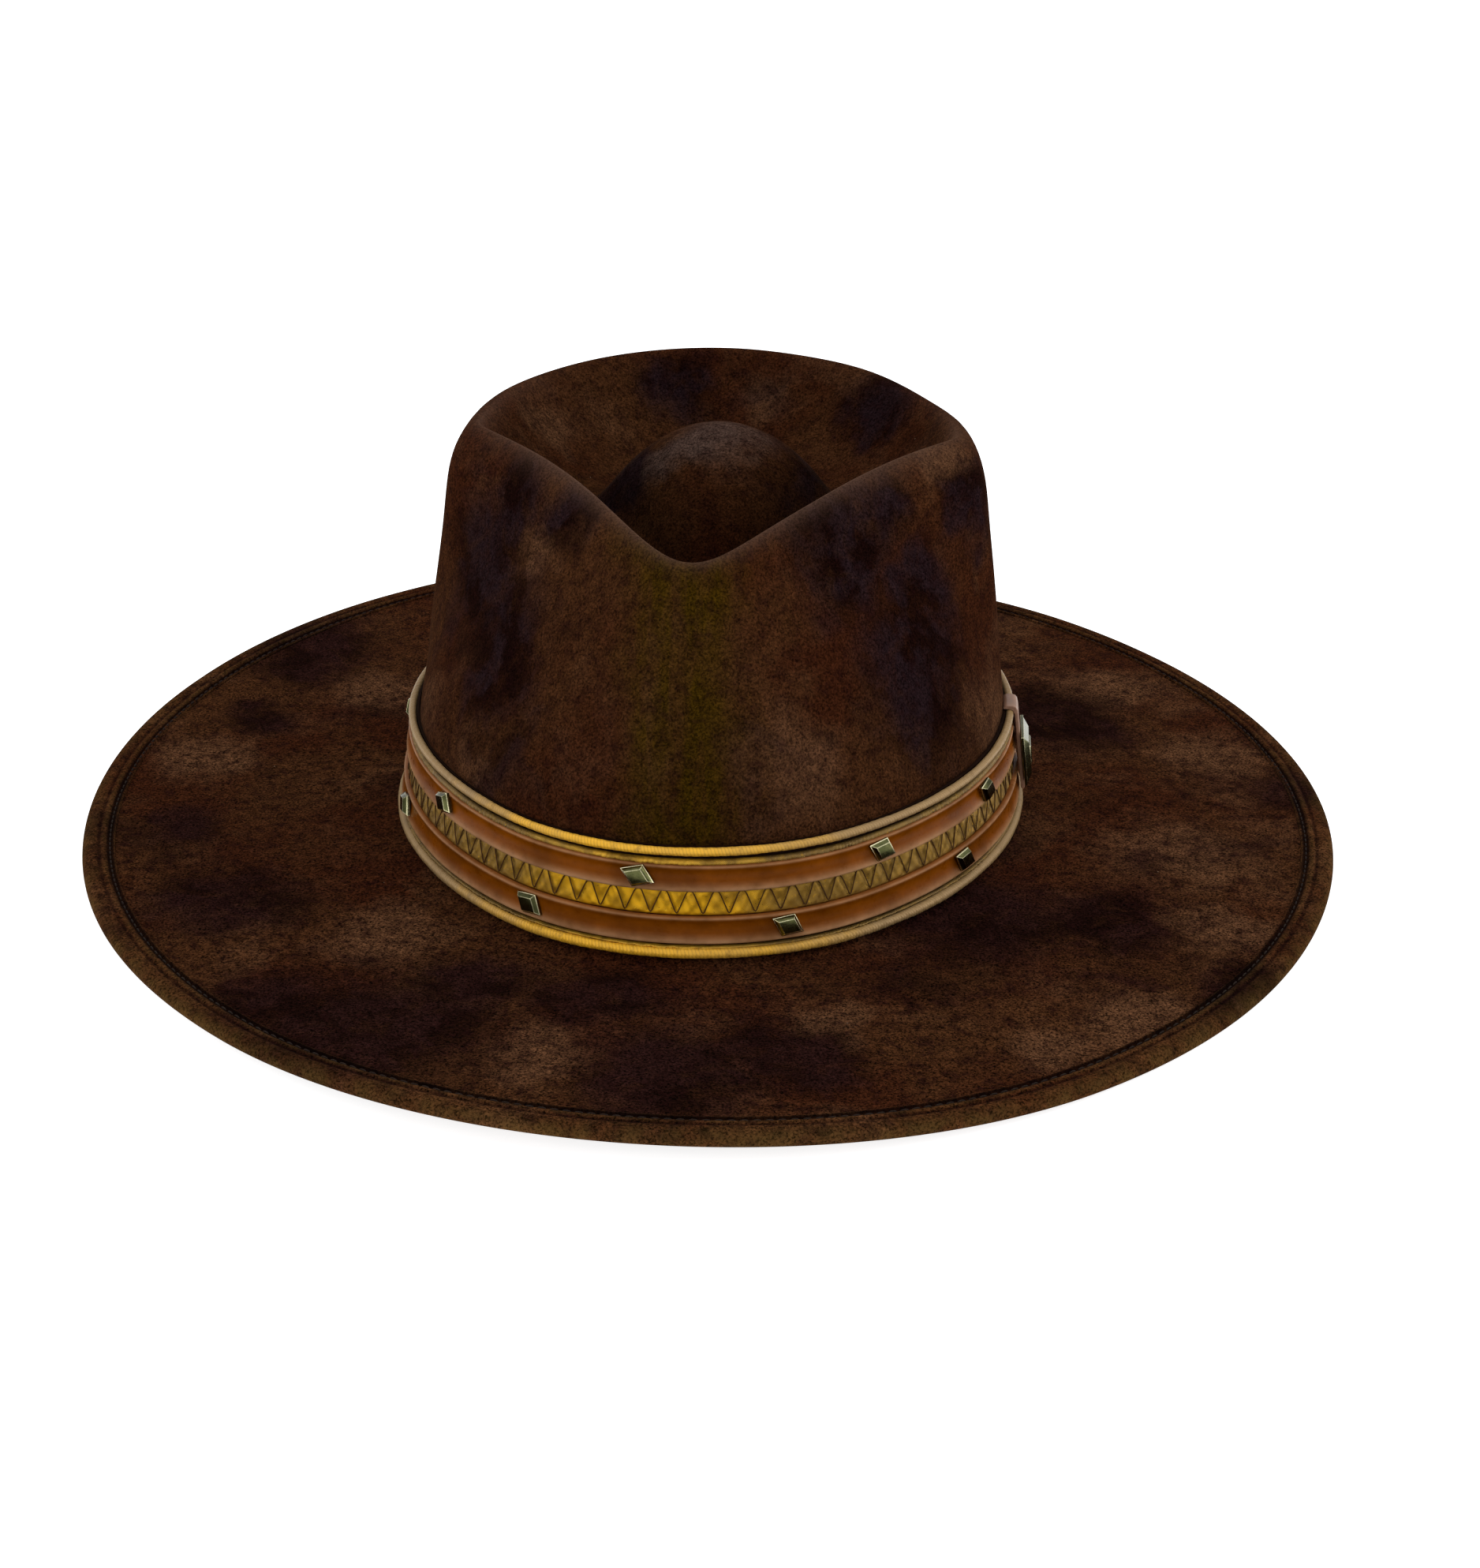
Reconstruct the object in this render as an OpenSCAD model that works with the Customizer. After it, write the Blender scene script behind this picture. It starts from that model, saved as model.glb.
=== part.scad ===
// Wide brim felt hat with a teardrop crown and a studded leather and braid band.
// Millimetres, +Z up. The brim rests on z = 0, the front of the hat faces -Y.
// Every ring of the hat is one four-centre oval pushed in or out along its normal.

/* [Crown] */
// Radius of the round front and back of the crown where it meets the brim
end_radius = 68.4; // [66:0.1:70]
// Thickness of the crown felt
felt = 2; // [1.6:0.1:2.2]
// Lean of the wall behind the band, mm per mm of height
wall_lean = 0.13; // [0.1:0.01:0.16]
// Height of the crown at its front tip
front_height = 100.5; // [96:0.5:104]
// Height of the crown at its sides
side_height = 112; // [108:0.5:114]
// Height of the crown at its back
back_height = 112.5; // [108:0.5:114]
// Half width of the ridge round the crown top
ridge_half_width = 65; // [62:0.5:67]
// Ridge's reach in front of the centre
ridge_front = 77.5; // [74:0.5:80]
// Ridge's reach behind the centre
ridge_back = 75; // [72:0.5:78]
// Depth of the crease below the ridge
crease_depth = 25; // [20:1:26]
// Height of the dome inside the crease
dome_height = 110; // [102:1:111]

/* [Brim] */
// Width of the brim from the crown to its edge
brim_width = 89.5; // [70:0.5:100]
// Thickness of one felt layer of the brim
brim_layer = 1.1; // [0.9:0.1:1.3]
// Thickness of the stiffener between the layers
core_layer = 0.4; // [0.3:0.1:0.6]
// Thickness of the welt folded round the edge
welt_layer = 0.7; // [0.5:0.1:0.9]
// Width of the welt
welt_width = 9; // [7:0.5:12]
// Diameter of the wire inside the edge
wire_diameter = 1.6; // [1.2:0.1:2]

/* [Band] */
// Height of the band's lower edge
band_base = 5; // [4.6:0.1:6]
// Diameter of the lower piping cord
lower_piping_diameter = 2.6; // [2.4:0.1:2.8]
// Diameter of the upper piping cord
upper_piping_diameter = 2.2; // [2:0.1:2.4]
// Height of the lower leather strap
lower_strap_height = 7.2; // [7:0.1:7.6]
// Height of the upper leather strap
upper_strap_height = 7; // [6.8:0.1:7.4]
// Thickness of a leather strap
strap_thickness = 1.8; // [1.4:0.1:2]
// Height of the braid between the straps
centre_braid_height = 6.3; // [5.6:0.1:6.8]
// Length of a stud along the band
stud_length = 6; // [5:0.5:6.5]
// Height of a stud
stud_across = 5.2; // [4.6:0.2:5.6]
// Slant of a stud's two short sides
stud_skew = 20; // [0:1:30]
// Turn of a stud in the face of its strap
stud_turn = 11; // [0:1:20]
// Length of the concho along the band
concho_length = 17; // [14:1:20]
// Height of the concho
concho_height = 14.5; // [12:0.5:16]

/* [Sweatband] */
// Height of the sweatband's upper edge
sweatband_top = 37; // [32:1:42]
// Thickness of the sweatband
sweatband_thickness = 1.1; // [0.9:0.1:1.3]

/* [Hidden] */
$fn = 48;
// the oval every ring shares: its side arcs are this much wider than its end arcs,
// and they meet where the normal has this whole-numbered direction
side_extra_radius = 50;
join_cos = 0.658944;
join_sin = 0.752192;
join_reach = 1000;
side_centre = side_extra_radius * join_cos;
end_centre = side_extra_radius * join_sin;
side_radius = end_radius + side_extra_radius;
crown_half_width = side_radius - side_centre;
crown_half_length = end_radius + end_centre;
join_turn = atan2(join_sin, join_cos);
end_half_arc = (90 - join_turn) * end_radius * PI / 180;

// taller and deeper than anything the wedges cut
wedge_base = -10;
wedge_height = 100;

// brim stack, from the rest plane up
lower_z = welt_layer;
core_z = lower_z + brim_layer;
upper_z = core_z + core_layer;
brim_top = upper_z + brim_layer;
edge_top = brim_top + welt_layer;
edge_radius = edge_top / 2;
edge_clearance = 1.2;
layer_reach = brim_width - edge_radius - edge_clearance;
stitch_reach = brim_width - welt_width + 1.4;
stitch_groove = 0.5;
groove_width = 1.6;
stitch_radius = 0.28;
fit_gap = 0.05;

// band stack, outward from the crown wall
backing_start = 0.1;
backing_face = 0.8;
strap_face = backing_face + strap_thickness;
braid_face = 2.3;
centre_face = 2;
thread_thickness = 0.3;
layer_gap = 0.1;
top_gap = 0.3;
backing_margin = 0.3;
thread_margin = 0.3;
lower_braid_height = 1;
upper_braid_height = 1.9;
backing_bevel = 0.1;
strap_bevel = 0.5;
narrow_braid_bevel = 0.3;
centre_bevel = 0.3;
lower_piping_z = band_base + lower_piping_diameter / 2;
lower_braid_z = band_base + lower_piping_diameter + layer_gap;
lower_strap_z = lower_braid_z + lower_braid_height + layer_gap;
centre_z = lower_strap_z + lower_strap_height + layer_gap;
upper_strap_z = centre_z + centre_braid_height + layer_gap;
upper_braid_z = upper_strap_z + upper_strap_height + layer_gap;
upper_piping_z = upper_braid_z + upper_braid_height + top_gap + upper_piping_diameter / 2;
band_top = upper_piping_z + upper_piping_diameter / 2;
band_middle = (band_base + band_top) / 2;

// places of the studs along the band, from the front centre towards the wearer's left
upper_stud_places = [-222, -150, -80, -10, 57, 106, 190, 256];
lower_stud_places = [-256, -184, -112, -40, 28, 90, 222, 290];
stud_rise = 1.7;
stud_bevel = 1.2;
stud_plate = 0.5;
prong_width = 1.2;
prong_thickness = 0.5;
prong_spread = 1.5;
prong_play = 0.05;
slot_margin = 1;

// tab folded over the band's top on the wearer's left, and the concho on it
keeper_leather = 1.1;
keeper_half_turn = 2.3;
keeper_back = backing_face + upper_piping_diameter + fit_gap + layer_gap;
keeper_face = keeper_back + keeper_leather;
keeper_base = lower_strap_z + 1.5;
keeper_top = band_top + keeper_leather + layer_gap;
keeper_round = 0.6;
concho_plate = 0.9;
concho_rise = 2.2;
concho_bevel = 2.6;
concho_panel = 0.4;
concho_rim = 0.8;
side_place = end_half_arc + join_turn * side_radius * PI / 180;

// sweatband stack, inward from the crown wall
sweatband_gap = 0.8;
sweatband_back = felt + sweatband_gap;
sweatband_front = sweatband_back + sweatband_thickness;
reed_radius = 0.8;
reed_z = 1.3;
sweatband_base = reed_z + reed_radius + fit_gap;
seam_radius = 0.3;
seam_z = sweatband_base + 2.2;
sweatband_bevel = 0.2;
bow_loop = 5;
bow_spread = 4.5;
bow_thickness = 0.8;
bow_gap = 0.4;
bow_z = 14;
knot_thickness = 1.2;
knot_height = 2.5;

// crown surface
columns = 80;
lower_rows = 6;
wall_rows = 7;
roll_rows = 6;
slope_rows = 8;
dome_rows = 8;
last_row = lower_rows + wall_rows + roll_rows + slope_rows + dome_rows;
wall_start = 38;
// front, side and back values round the crown: ridge height, roll reach and drop, first and last roll angle
ridge_heights = [front_height, side_height, back_height];
ridge_power = 2.2;
roll_reaches = [4, 9.5, 9];
roll_drops = [9, 19, 12];
roll_starts = [36, 12, 16];
roll_ends = [58, 80, 84];
wall_swells = [0.8, 1.05, 0.75];
round_power = 1.5;
crisp_power = 2.5;
spread_power = 0.6;
front_curve = 0.76;
tip_round = 0.26;
side_round = 0.1;
crease_scale = 0.52;
crease_shift = 3;
crease_power = 1.15;
dome_shift = 4;
dome_half_width = 37;
dome_half_length = 39;
dome_power = 3;
dome_soft = 0.35;
side_lean = 0.5;
lining_gap = 0.15;
lining_thickness = 0.45;
lining_first_row = 3;

// Point of the shared oval for a normal direction, pushed out by reach.
function on_side(turn) = atan2(abs(sin(turn)), abs(cos(turn))) <= join_turn;
function oval_x(turn, reach) = on_side(turn)
  ? -sign(cos(turn)) * side_centre + (side_radius + reach) * cos(turn)
  : (end_radius + reach) * cos(turn);
function oval_y(turn, reach) = on_side(turn)
  ? (side_radius + reach) * sin(turn)
  : sign(sin(turn)) * end_centre + (end_radius + reach) * sin(turn);

// Normal direction at a distance along the base oval from the front centre.
function turn_at(place) = abs(place) <= end_half_arc
  ? -90 + place / end_radius * 180 / PI
  : (abs(place) <= 2 * side_place - end_half_arc
    ? -90 + sign(place) * (90 - join_turn + (abs(place) - end_half_arc) / side_radius * 180 / PI)
    : 90 - sign(place) * (2 * side_place - abs(place)) / end_radius * 180 / PI);

// How far the wall has leaned in at a height.
function wall_in(z) = z > brim_top ? -wall_lean * (z - brim_top) : 0;

// Front, side and back values blended round the crown.
function toward(side, other, weight) = side + (other - side) * weight;
function blend_round(turn, three, power) = let (s = sin(turn))
  toward(three[1], s < 0 ? three[0] : three[2], pow(abs(s), power));
function crisp_round(turn, three) = let (s = sin(turn))
  s < 0 ? toward(three[1], three[0], 1 - pow(1 + s, crisp_power))
  : toward(three[1], three[2], pow(s, round_power));

// Plan of the ridge: a V in front, a round back.
function soft_share(s) = (sqrt(s * s + side_round * side_round) - side_round)
  / (sqrt(1 + side_round * side_round) - side_round);
function v_width(s) = let (f = 1 - pow(soft_share(s), front_curve))
  sqrt(f * f + 2 * f * tip_round) / sqrt(1 + 2 * tip_round);
function plan_x(turn, scale) = sign(cos(turn)) * ridge_half_width * scale
  * (sin(turn) < 0 ? v_width(sin(turn)) : abs(cos(turn)));
function plan_y(turn, scale, shift) = shift
  + sin(turn) * scale * (sin(turn) < 0 ? ridge_front : ridge_back);
function plan_normal(turn) = let (
    dx = plan_x(turn + 1, 1) - plan_x(turn - 1, 1),
    dy = plan_y(turn + 1, 1, 0) - plan_y(turn - 1, 1, 0),
    n = sqrt(dx * dx + dy * dy))
  [dy / n, -dx / n];

function ridge_z(turn) = blend_round(turn, ridge_heights, ridge_power);
function roll_reach(turn) = blend_round(turn, roll_reaches, round_power);
function roll_drop(turn) = blend_round(turn, roll_drops, round_power);
function roll_start(turn) = blend_round(turn, roll_starts, round_power);
function roll_end(turn) = crisp_round(turn, roll_ends);
function base_turn(turn) = atan2(
  sin(turn) * pow(crown_half_width, spread_power), cos(turn) * pow(crown_half_length, spread_power));

// The five zones of the crown's outer face; v runs from 0 to 1 up each zone.
function lower_wall(turn, v) = let (z = lower_z + (wall_start - lower_z) * v, b = base_turn(turn))
  [oval_x(b, wall_in(z)), oval_y(b, wall_in(z)), z];
function upper_wall(turn, v) = let (
    a = lower_wall(turn, 1),
    n = plan_normal(turn),
    r = roll_reach(turn),
    q = blend_round(turn, wall_swells, round_power),
    g = v * (q + (1 - q) * v),
    sx = plan_x(turn, 1) + n[0] * r,
    sy = plan_y(turn, 1, 0) + n[1] * r,
    sz = ridge_z(turn) - roll_drop(turn))
  [a[0] + (sx - a[0]) * g, a[1] + (sy - a[1]) * g, a[2] + (sz - a[2]) * v];
function roll_over(turn, v) = let (
    n = plan_normal(turn),
    a0 = roll_start(turn),
    a1 = roll_end(turn),
    a = a0 + (a1 - a0) * v,
    h = roll_reach(turn) * (cos(a) - cos(a1)) / (cos(a0) - cos(a1)),
    z = roll_drop(turn) * (1 - (sin(a) - sin(a0)) / (sin(a1) - sin(a0))))
  [plan_x(turn, 1) + n[0] * h, plan_y(turn, 1, 0) + n[1] * h, ridge_z(turn) - z];
function inner_slope(turn, v) = let (k = 1 - (1 - crease_scale) * v)
  [plan_x(turn, k), plan_y(turn, k, crease_shift * v),
   ridge_z(turn) - crease_depth * pow(sin(90 * v), crease_power)];
function dome(turn, v) = let (
    k = 1 - v,
    keep = k * k,
    low = ridge_z(turn) - crease_depth,
    rise = dome_soft * (1 - cos(180 * v)) / 2 + (1 - dome_soft) * (1 - pow(k, dome_power)),
    x = plan_x(turn, crease_scale) * keep + dome_half_width * cos(turn) * (1 - keep),
    y = (plan_y(turn, crease_scale, crease_shift) - dome_shift) * keep
      + dome_half_length * sin(turn) * (1 - keep))
  [x * k, dome_shift + y * k, low + (dome_height - low) * rise];

function face_point(row, turn) =
  row <= lower_rows ? lower_wall(turn, row / lower_rows)
  : row <= lower_rows + wall_rows ? leaned(upper_wall(turn, (row - lower_rows) / wall_rows))
  : row <= lower_rows + wall_rows + roll_rows
    ? leaned(roll_over(turn, (row - lower_rows - wall_rows) / roll_rows))
  : row <= last_row - dome_rows
    ? leaned(inner_slope(turn, (row - lower_rows - wall_rows - roll_rows) / slope_rows))
  : leaned(dome(turn, (row - last_row + dome_rows) / dome_rows));
function leaned(p) =
  [p[0] + side_lean * (p[2] - wall_start) / (side_height - wall_start), p[1], p[2]];

function unit(v) = v / norm(v);
function quad(a, b, c, d) = [[a, b, c], [a, c, d]];

// Closed shell between two depths under the crown's outer face, open at the bottom.
module crown_shell(first_row, outer_depth, inner_depth, count) {
  grid = [for (i = [first_row:last_row])
    [for (j = [0:count - 1]) face_point(i, -90 + 360 * (j + 0.5) / count)]];
  top = last_row - first_row;
  normals = [for (i = [0:top - 1]) [for (j = [0:count - 1])
    let (
      along = grid[i][(j + 1) % count] - grid[i][(j + count - 1) % count],
      up = grid[i + 1][j] - grid[max(i - 1, 0)][j])
    unit(cross(along, up))]];
  apex = grid[top][0];
  function layer(depth) =
    [for (i = [0:top - 1]) for (j = [0:count - 1]) grid[i][j] - normals[i][j] * depth];
  outer_apex = top * count;
  inner_start = outer_apex + 1;
  inner_apex = inner_start + top * count;
  function ring(start, row, j) = start + row * count + j % count;
  points = concat(layer(outer_depth), [apex - [0, 0, outer_depth]],
    layer(inner_depth), [apex - [0, 0, inner_depth]]);
  faces = concat(
    [for (i = [0:top - 2]) for (j = [0:count - 1])
      each quad(ring(0, i, j), ring(0, i + 1, j), ring(0, i + 1, j + 1), ring(0, i, j + 1))],
    [for (j = [0:count - 1]) [ring(0, top - 1, j), outer_apex, ring(0, top - 1, j + 1)]],
    [for (i = [0:top - 2]) for (j = [0:count - 1]) let (s = inner_start)
      each quad(ring(s, i, j), ring(s, i, j + 1), ring(s, i + 1, j + 1), ring(s, i + 1, j))],
    [for (j = [0:count - 1]) let (s = inner_start)
      [ring(s, top - 1, j), ring(s, top - 1, j + 1), inner_apex]],
    [for (j = [0:count - 1]) let (s = inner_start)
      each quad(ring(0, 0, j), ring(0, 0, j + 1), ring(s, 0, j + 1), ring(s, 0, j))]);
  polyhedron(points = points, faces = faces, convexity = 6);
}

// Sweep a section round the whole oval; the section's x is the reach from the base oval.
module oval_ring() {
  x = join_reach * join_cos;
  y = join_reach * join_sin;
  for (side = [0, 180])
    rotate(side)
      translate([-side_centre, 0, 0])
        sector([[0, 0], [x, -y], [x, y]], side_radius)
          children();
  for (end = [0, 180])
    rotate(end)
      translate([0, end_centre, 0])
        sector([[0, 0], [x, y], [-x, y]], end_radius)
          children();
}

// The part of a full turn that lies inside a wedge.
module sector(wedge, radius) {
  intersection() {
    rotate_extrude()
      translate([radius, 0])
        children();
    translate([0, 0, wedge_base])
      linear_extrude(height = wedge_height)
        polygon(wedge);
  }
}

// Sweep a section along the wearer's left side only.
module side_sweep(half_turn) {
  translate([-side_centre, 0, 0])
    rotate(-half_turn)
      rotate_extrude(angle = 2 * half_turn)
        translate([side_radius, 0])
          children();
}

// Section lying on the leaning wall between two heights and two distances from it.
module wall_section(z0, z1, d0, d1, bevel) {
  polygon([
    [wall_in(z0) + d0, z0],
    [wall_in(z0) + d1 - bevel, z0],
    [wall_in(z0 + bevel) + d1, z0 + bevel],
    [wall_in(z1 - bevel) + d1, z1 - bevel],
    [wall_in(z1) + d1 - bevel, z1],
    [wall_in(z1) + d0, z1]
  ]);
}

// Put a piece on the leaning wall: its x points outward, its y runs along the band.
module on_band(place, z, reach) {
  t = turn_at(place);
  translate([oval_x(t, wall_in(z)), oval_y(t, wall_in(z)), z])
    rotate([0, 0, t])
      rotate([0, -atan(wall_lean), 0])
        translate([reach, 0, 0])
          children();
}

// Flat-topped bevelled block standing on x = 0, made of two crossed prisms;
// skew slants the two sides that face along the band.
module bevelled_block(length, height, plate, rise, bevel, skew = 0) {
  intersection() {
    rotate([skew, 0, 0])
      translate([0, 0, -height])
        linear_extrude(height = 2 * height)
          bevel_side(length, plate, rise, bevel);
    rotate([90, 0, 0])
      translate([0, 0, -length])
        linear_extrude(height = 2 * length)
          bevel_side(height, plate, rise, bevel);
  }
}

module bevel_side(length, plate, rise, bevel) {
  polygon([
    [0, -length / 2], [plate, -length / 2], [rise, -length / 2 + bevel],
    [rise, length / 2 - bevel], [plate, length / 2], [0, length / 2]
  ]);
}

module prong_pair(depth, play) {
  for (side = [-1, 1])
    translate([-depth / 2, side * prong_spread, 0])
      cube([depth, prong_thickness + 2 * play, prong_width + 2 * play], center = true);
}

module stud_slots(places, z) {
  for (place = places)
    on_band(place, z, strap_face + layer_gap)
      rotate([stud_turn, 0, 0])
        prong_pair(strap_thickness + slot_margin, prong_play);
}

module studs(places, z) {
  for (place = places)
    on_band(place, z, strap_face + fit_gap)
      rotate([stud_turn, 0, 0]) {
        bevelled_block(stud_length, stud_across, stud_plate, stud_rise, stud_bevel, stud_skew);
        prong_pair(strap_thickness, 0);
      }
}

module piping(z, diameter) {
  color("goldenrod")
    oval_ring()
      translate([wall_in(z) + backing_face + fit_gap + diameter / 2, z])
        circle(d = diameter);
}

module strap(z, height, places) {
  color("sienna")
    difference() {
      oval_ring()
        wall_section(z, z + height, backing_face + fit_gap, strap_face, strap_bevel);
      stud_slots(places, z + height / 2);
    }
}

module crown() {
  color("saddlebrown")
    crown_shell(0, 0, felt, columns);
}

module crown_lining() {
  color("dimgray")
    crown_shell(lining_first_row, felt + lining_gap, felt + lining_gap + lining_thickness, columns / 2);
}

module brim_upper() {
  color("saddlebrown")
    oval_ring()
      translate([fit_gap, upper_z])
        square([layer_reach, brim_layer]);
}

module brim_core() {
  color("gray")
    oval_ring()
      translate([fit_gap, core_z])
        square([layer_reach, core_layer]);
}

module brim_lower() {
  color("saddlebrown")
    oval_ring()
      translate([fit_gap, lower_z])
        square([layer_reach, brim_layer]);
}

module edge_wire() {
  color("silver")
    oval_ring()
      translate([brim_width - edge_radius, edge_radius])
        circle(d = wire_diameter);
}

module edge_welt() {
  leaf = welt_width - edge_radius;
  color("sienna")
    oval_ring()
      difference() {
        union() {
          translate([brim_width - welt_width, 0])
            square([leaf, edge_top]);
          translate([brim_width - edge_radius, edge_radius])
            circle(r = edge_radius);
        }
        translate([brim_width - welt_width - 1, lower_z])
          square([leaf + 1, brim_top - lower_z]);
        translate([brim_width - edge_radius, edge_radius])
          circle(r = edge_radius - welt_layer);
        for (z = [stitch_groove - 1, edge_top - stitch_groove])
          translate([stitch_reach - groove_width / 2, z])
            square([groove_width, 1]);
      }
}

module welt_stitching() {
  color("black")
    for (z = [stitch_radius, edge_top - stitch_groove + stitch_radius])
      oval_ring()
        translate([stitch_reach, z])
          circle(r = stitch_radius);
}

module sweatband() {
  color("peru")
    oval_ring()
      wall_section(sweatband_base, sweatband_top, -sweatband_front, -sweatband_back, sweatband_bevel);
}

module sweatband_reed() {
  color("dimgray")
    oval_ring()
      translate([-felt - reed_radius - fit_gap, reed_z])
        circle(r = reed_radius);
}

module sweatband_stitching() {
  color("wheat")
    oval_ring()
      translate([wall_in(seam_z) - sweatband_front - seam_radius - fit_gap, seam_z])
        circle(r = seam_radius);
}

module sweatband_bow() {
  color("dimgray")
    on_band(2 * side_place, bow_z, -sweatband_front - bow_thickness - bow_gap) {
      for (side = [-1, 1])
        translate([0, side * bow_spread, 0])
          rotate([0, 90, 0])
            cylinder(h = bow_thickness, r = bow_loop / 2, center = true);
      cube([knot_thickness, bow_loop, knot_height], center = true);
    }
}

module band_backing() {
  color("peru")
    oval_ring()
      wall_section(band_base + backing_margin, band_top - backing_margin, backing_start, backing_face,
        backing_bevel);
}

module lower_piping() {
  piping(lower_piping_z, lower_piping_diameter);
}

module upper_piping() {
  piping(upper_piping_z, upper_piping_diameter);
}

module narrow_braid(z, height) {
  color("gold")
    oval_ring()
      wall_section(z, z + height, backing_face + fit_gap, braid_face, narrow_braid_bevel);
}

module lower_braid() {
  narrow_braid(lower_braid_z, lower_braid_height);
}

module upper_braid() {
  narrow_braid(upper_braid_z, upper_braid_height);
}

module lower_strap() {
  strap(lower_strap_z, lower_strap_height, lower_stud_places);
}

module upper_strap() {
  strap(upper_strap_z, upper_strap_height, upper_stud_places);
}

module centre_braid() {
  color("gold")
    oval_ring()
      wall_section(centre_z, centre_z + centre_braid_height, backing_face + fit_gap, centre_face,
        centre_bevel);
}

module zigzag_thread() {
  color("saddlebrown")
    oval_ring()
      wall_section(centre_z + thread_margin, centre_z + centre_braid_height - thread_margin,
        centre_face + fit_gap, centre_face + fit_gap + thread_thickness, backing_bevel);
}

module lower_studs() {
  color("darkgoldenrod")
    studs(lower_stud_places, lower_strap_z + lower_strap_height / 2);
}

module upper_studs() {
  color("darkgoldenrod")
    studs(upper_stud_places, upper_strap_z + upper_strap_height / 2);
}

module keeper() {
  color("sienna")
    difference() {
      side_sweep(keeper_half_turn)
        difference() {
          wall_section(keeper_base, keeper_top, backing_start, keeper_face, keeper_round);
          wall_section(keeper_base - 1, keeper_top - keeper_leather, backing_start - 1, keeper_back, fit_gap);
        }
      on_band(side_place, band_middle, keeper_face + layer_gap)
        prong_pair(keeper_leather + slot_margin, prong_play);
    }
}

module concho() {
  panel_length = concho_length - 2 * (concho_bevel + concho_rim);
  panel_height = concho_height - 2 * (concho_bevel + concho_rim);
  color("darkgoldenrod")
    on_band(side_place, band_middle, keeper_face + fit_gap) {
      difference() {
        bevelled_block(concho_length, concho_height, concho_plate, concho_rise, concho_bevel);
        translate([concho_rise + 0.5 - concho_panel, 0, 0])
          difference() {
            cube([1, panel_length, panel_height], center = true);
            cube([2, panel_length - 2 * concho_rim, panel_height - 2 * concho_rim], center = true);
          }
      }
      prong_pair(keeper_leather, 0);
    }
}

crown();
crown_lining();
brim_upper();
brim_core();
brim_lower();
edge_wire();
edge_welt();
welt_stitching();
sweatband();
sweatband_reed();
sweatband_stitching();
sweatband_bow();
band_backing();
lower_piping();
upper_piping();
lower_braid();
upper_braid();
lower_strap();
upper_strap();
centre_braid();
zigzag_thread();
lower_studs();
upper_studs();
keeper();
concho();
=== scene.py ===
import random

import bmesh
import bpy
import numpy as np
from mathutils import Matrix, Vector, noise
from numpy import arctan, arctan2, clip, cos, exp, hypot, linspace, pi, radians, sin, sqrt, stack, tan


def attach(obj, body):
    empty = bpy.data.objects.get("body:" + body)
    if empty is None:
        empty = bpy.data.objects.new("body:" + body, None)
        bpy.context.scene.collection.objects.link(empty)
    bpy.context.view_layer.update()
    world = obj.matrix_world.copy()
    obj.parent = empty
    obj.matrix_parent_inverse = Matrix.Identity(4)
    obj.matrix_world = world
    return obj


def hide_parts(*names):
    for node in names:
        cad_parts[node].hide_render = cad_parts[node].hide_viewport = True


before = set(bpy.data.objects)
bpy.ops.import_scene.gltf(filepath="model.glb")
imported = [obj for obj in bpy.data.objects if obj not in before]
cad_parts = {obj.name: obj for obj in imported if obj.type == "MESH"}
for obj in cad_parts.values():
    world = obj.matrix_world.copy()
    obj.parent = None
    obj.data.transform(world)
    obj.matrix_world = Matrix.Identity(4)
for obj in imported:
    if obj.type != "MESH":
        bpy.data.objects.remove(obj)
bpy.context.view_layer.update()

MM = 0.001
BODY = "root"
rng = random.Random(7)

# ---- shared sizes, in millimetres
# The oval that every ring of the hat is an offset of: four arcs with shared centres.
END_RADIUS = 68.4
SIDE_EXTRA = 50
JOIN_COS, JOIN_SIN = 0.658944, 0.752192
SIDE_RADIUS = END_RADIUS + SIDE_EXTRA
SIDE_CENTRE = SIDE_EXTRA * JOIN_COS
END_CENTRE = SIDE_EXTRA * JOIN_SIN
JOIN = arctan2(JOIN_SIN, JOIN_COS)
SIDE_PLACE = (pi / 2 - JOIN) * END_RADIUS + JOIN * SIDE_RADIUS
PERIMETER = 4 * SIDE_PLACE

LEAN = 0.13
FELT = 2
BRIM_WIDTH = 89.5
BRIM_LOW, BRIM_TOP, EDGE_TOP = 0.7, 3.3, 4
EDGE_RADIUS = 2
WELT_WIDTH = 9
STITCH_REACH = BRIM_WIDTH - WELT_WIDTH + 1.4

BACKING_FACE = 0.8
STRAP_FACE = 2.6
LOWER_CORD, UPPER_CORD = 1.3, 1.1
LOWER_STRAP_HEIGHT, UPPER_STRAP_HEIGHT = 7.2, 7
LOWER_BRAID_HEIGHT, UPPER_BRAID_HEIGHT = 1, 1.9
CENTRE_HEIGHT = 6.3
LAYER_GAP, TOP_GAP = 0.1, 0.3
BAND_BASE = 5
LOWER_PIPING_Z = BAND_BASE + LOWER_CORD
LOWER_BRAID_Z = BAND_BASE + 2 * LOWER_CORD + LAYER_GAP
LOWER_STRAP_Z = LOWER_BRAID_Z + LOWER_BRAID_HEIGHT + LAYER_GAP
CENTRE_Z = LOWER_STRAP_Z + LOWER_STRAP_HEIGHT + LAYER_GAP
UPPER_STRAP_Z = CENTRE_Z + CENTRE_HEIGHT + LAYER_GAP
UPPER_BRAID_Z = UPPER_STRAP_Z + UPPER_STRAP_HEIGHT + LAYER_GAP
UPPER_PIPING_Z = UPPER_BRAID_Z + UPPER_BRAID_HEIGHT + TOP_GAP + UPPER_CORD
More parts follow.
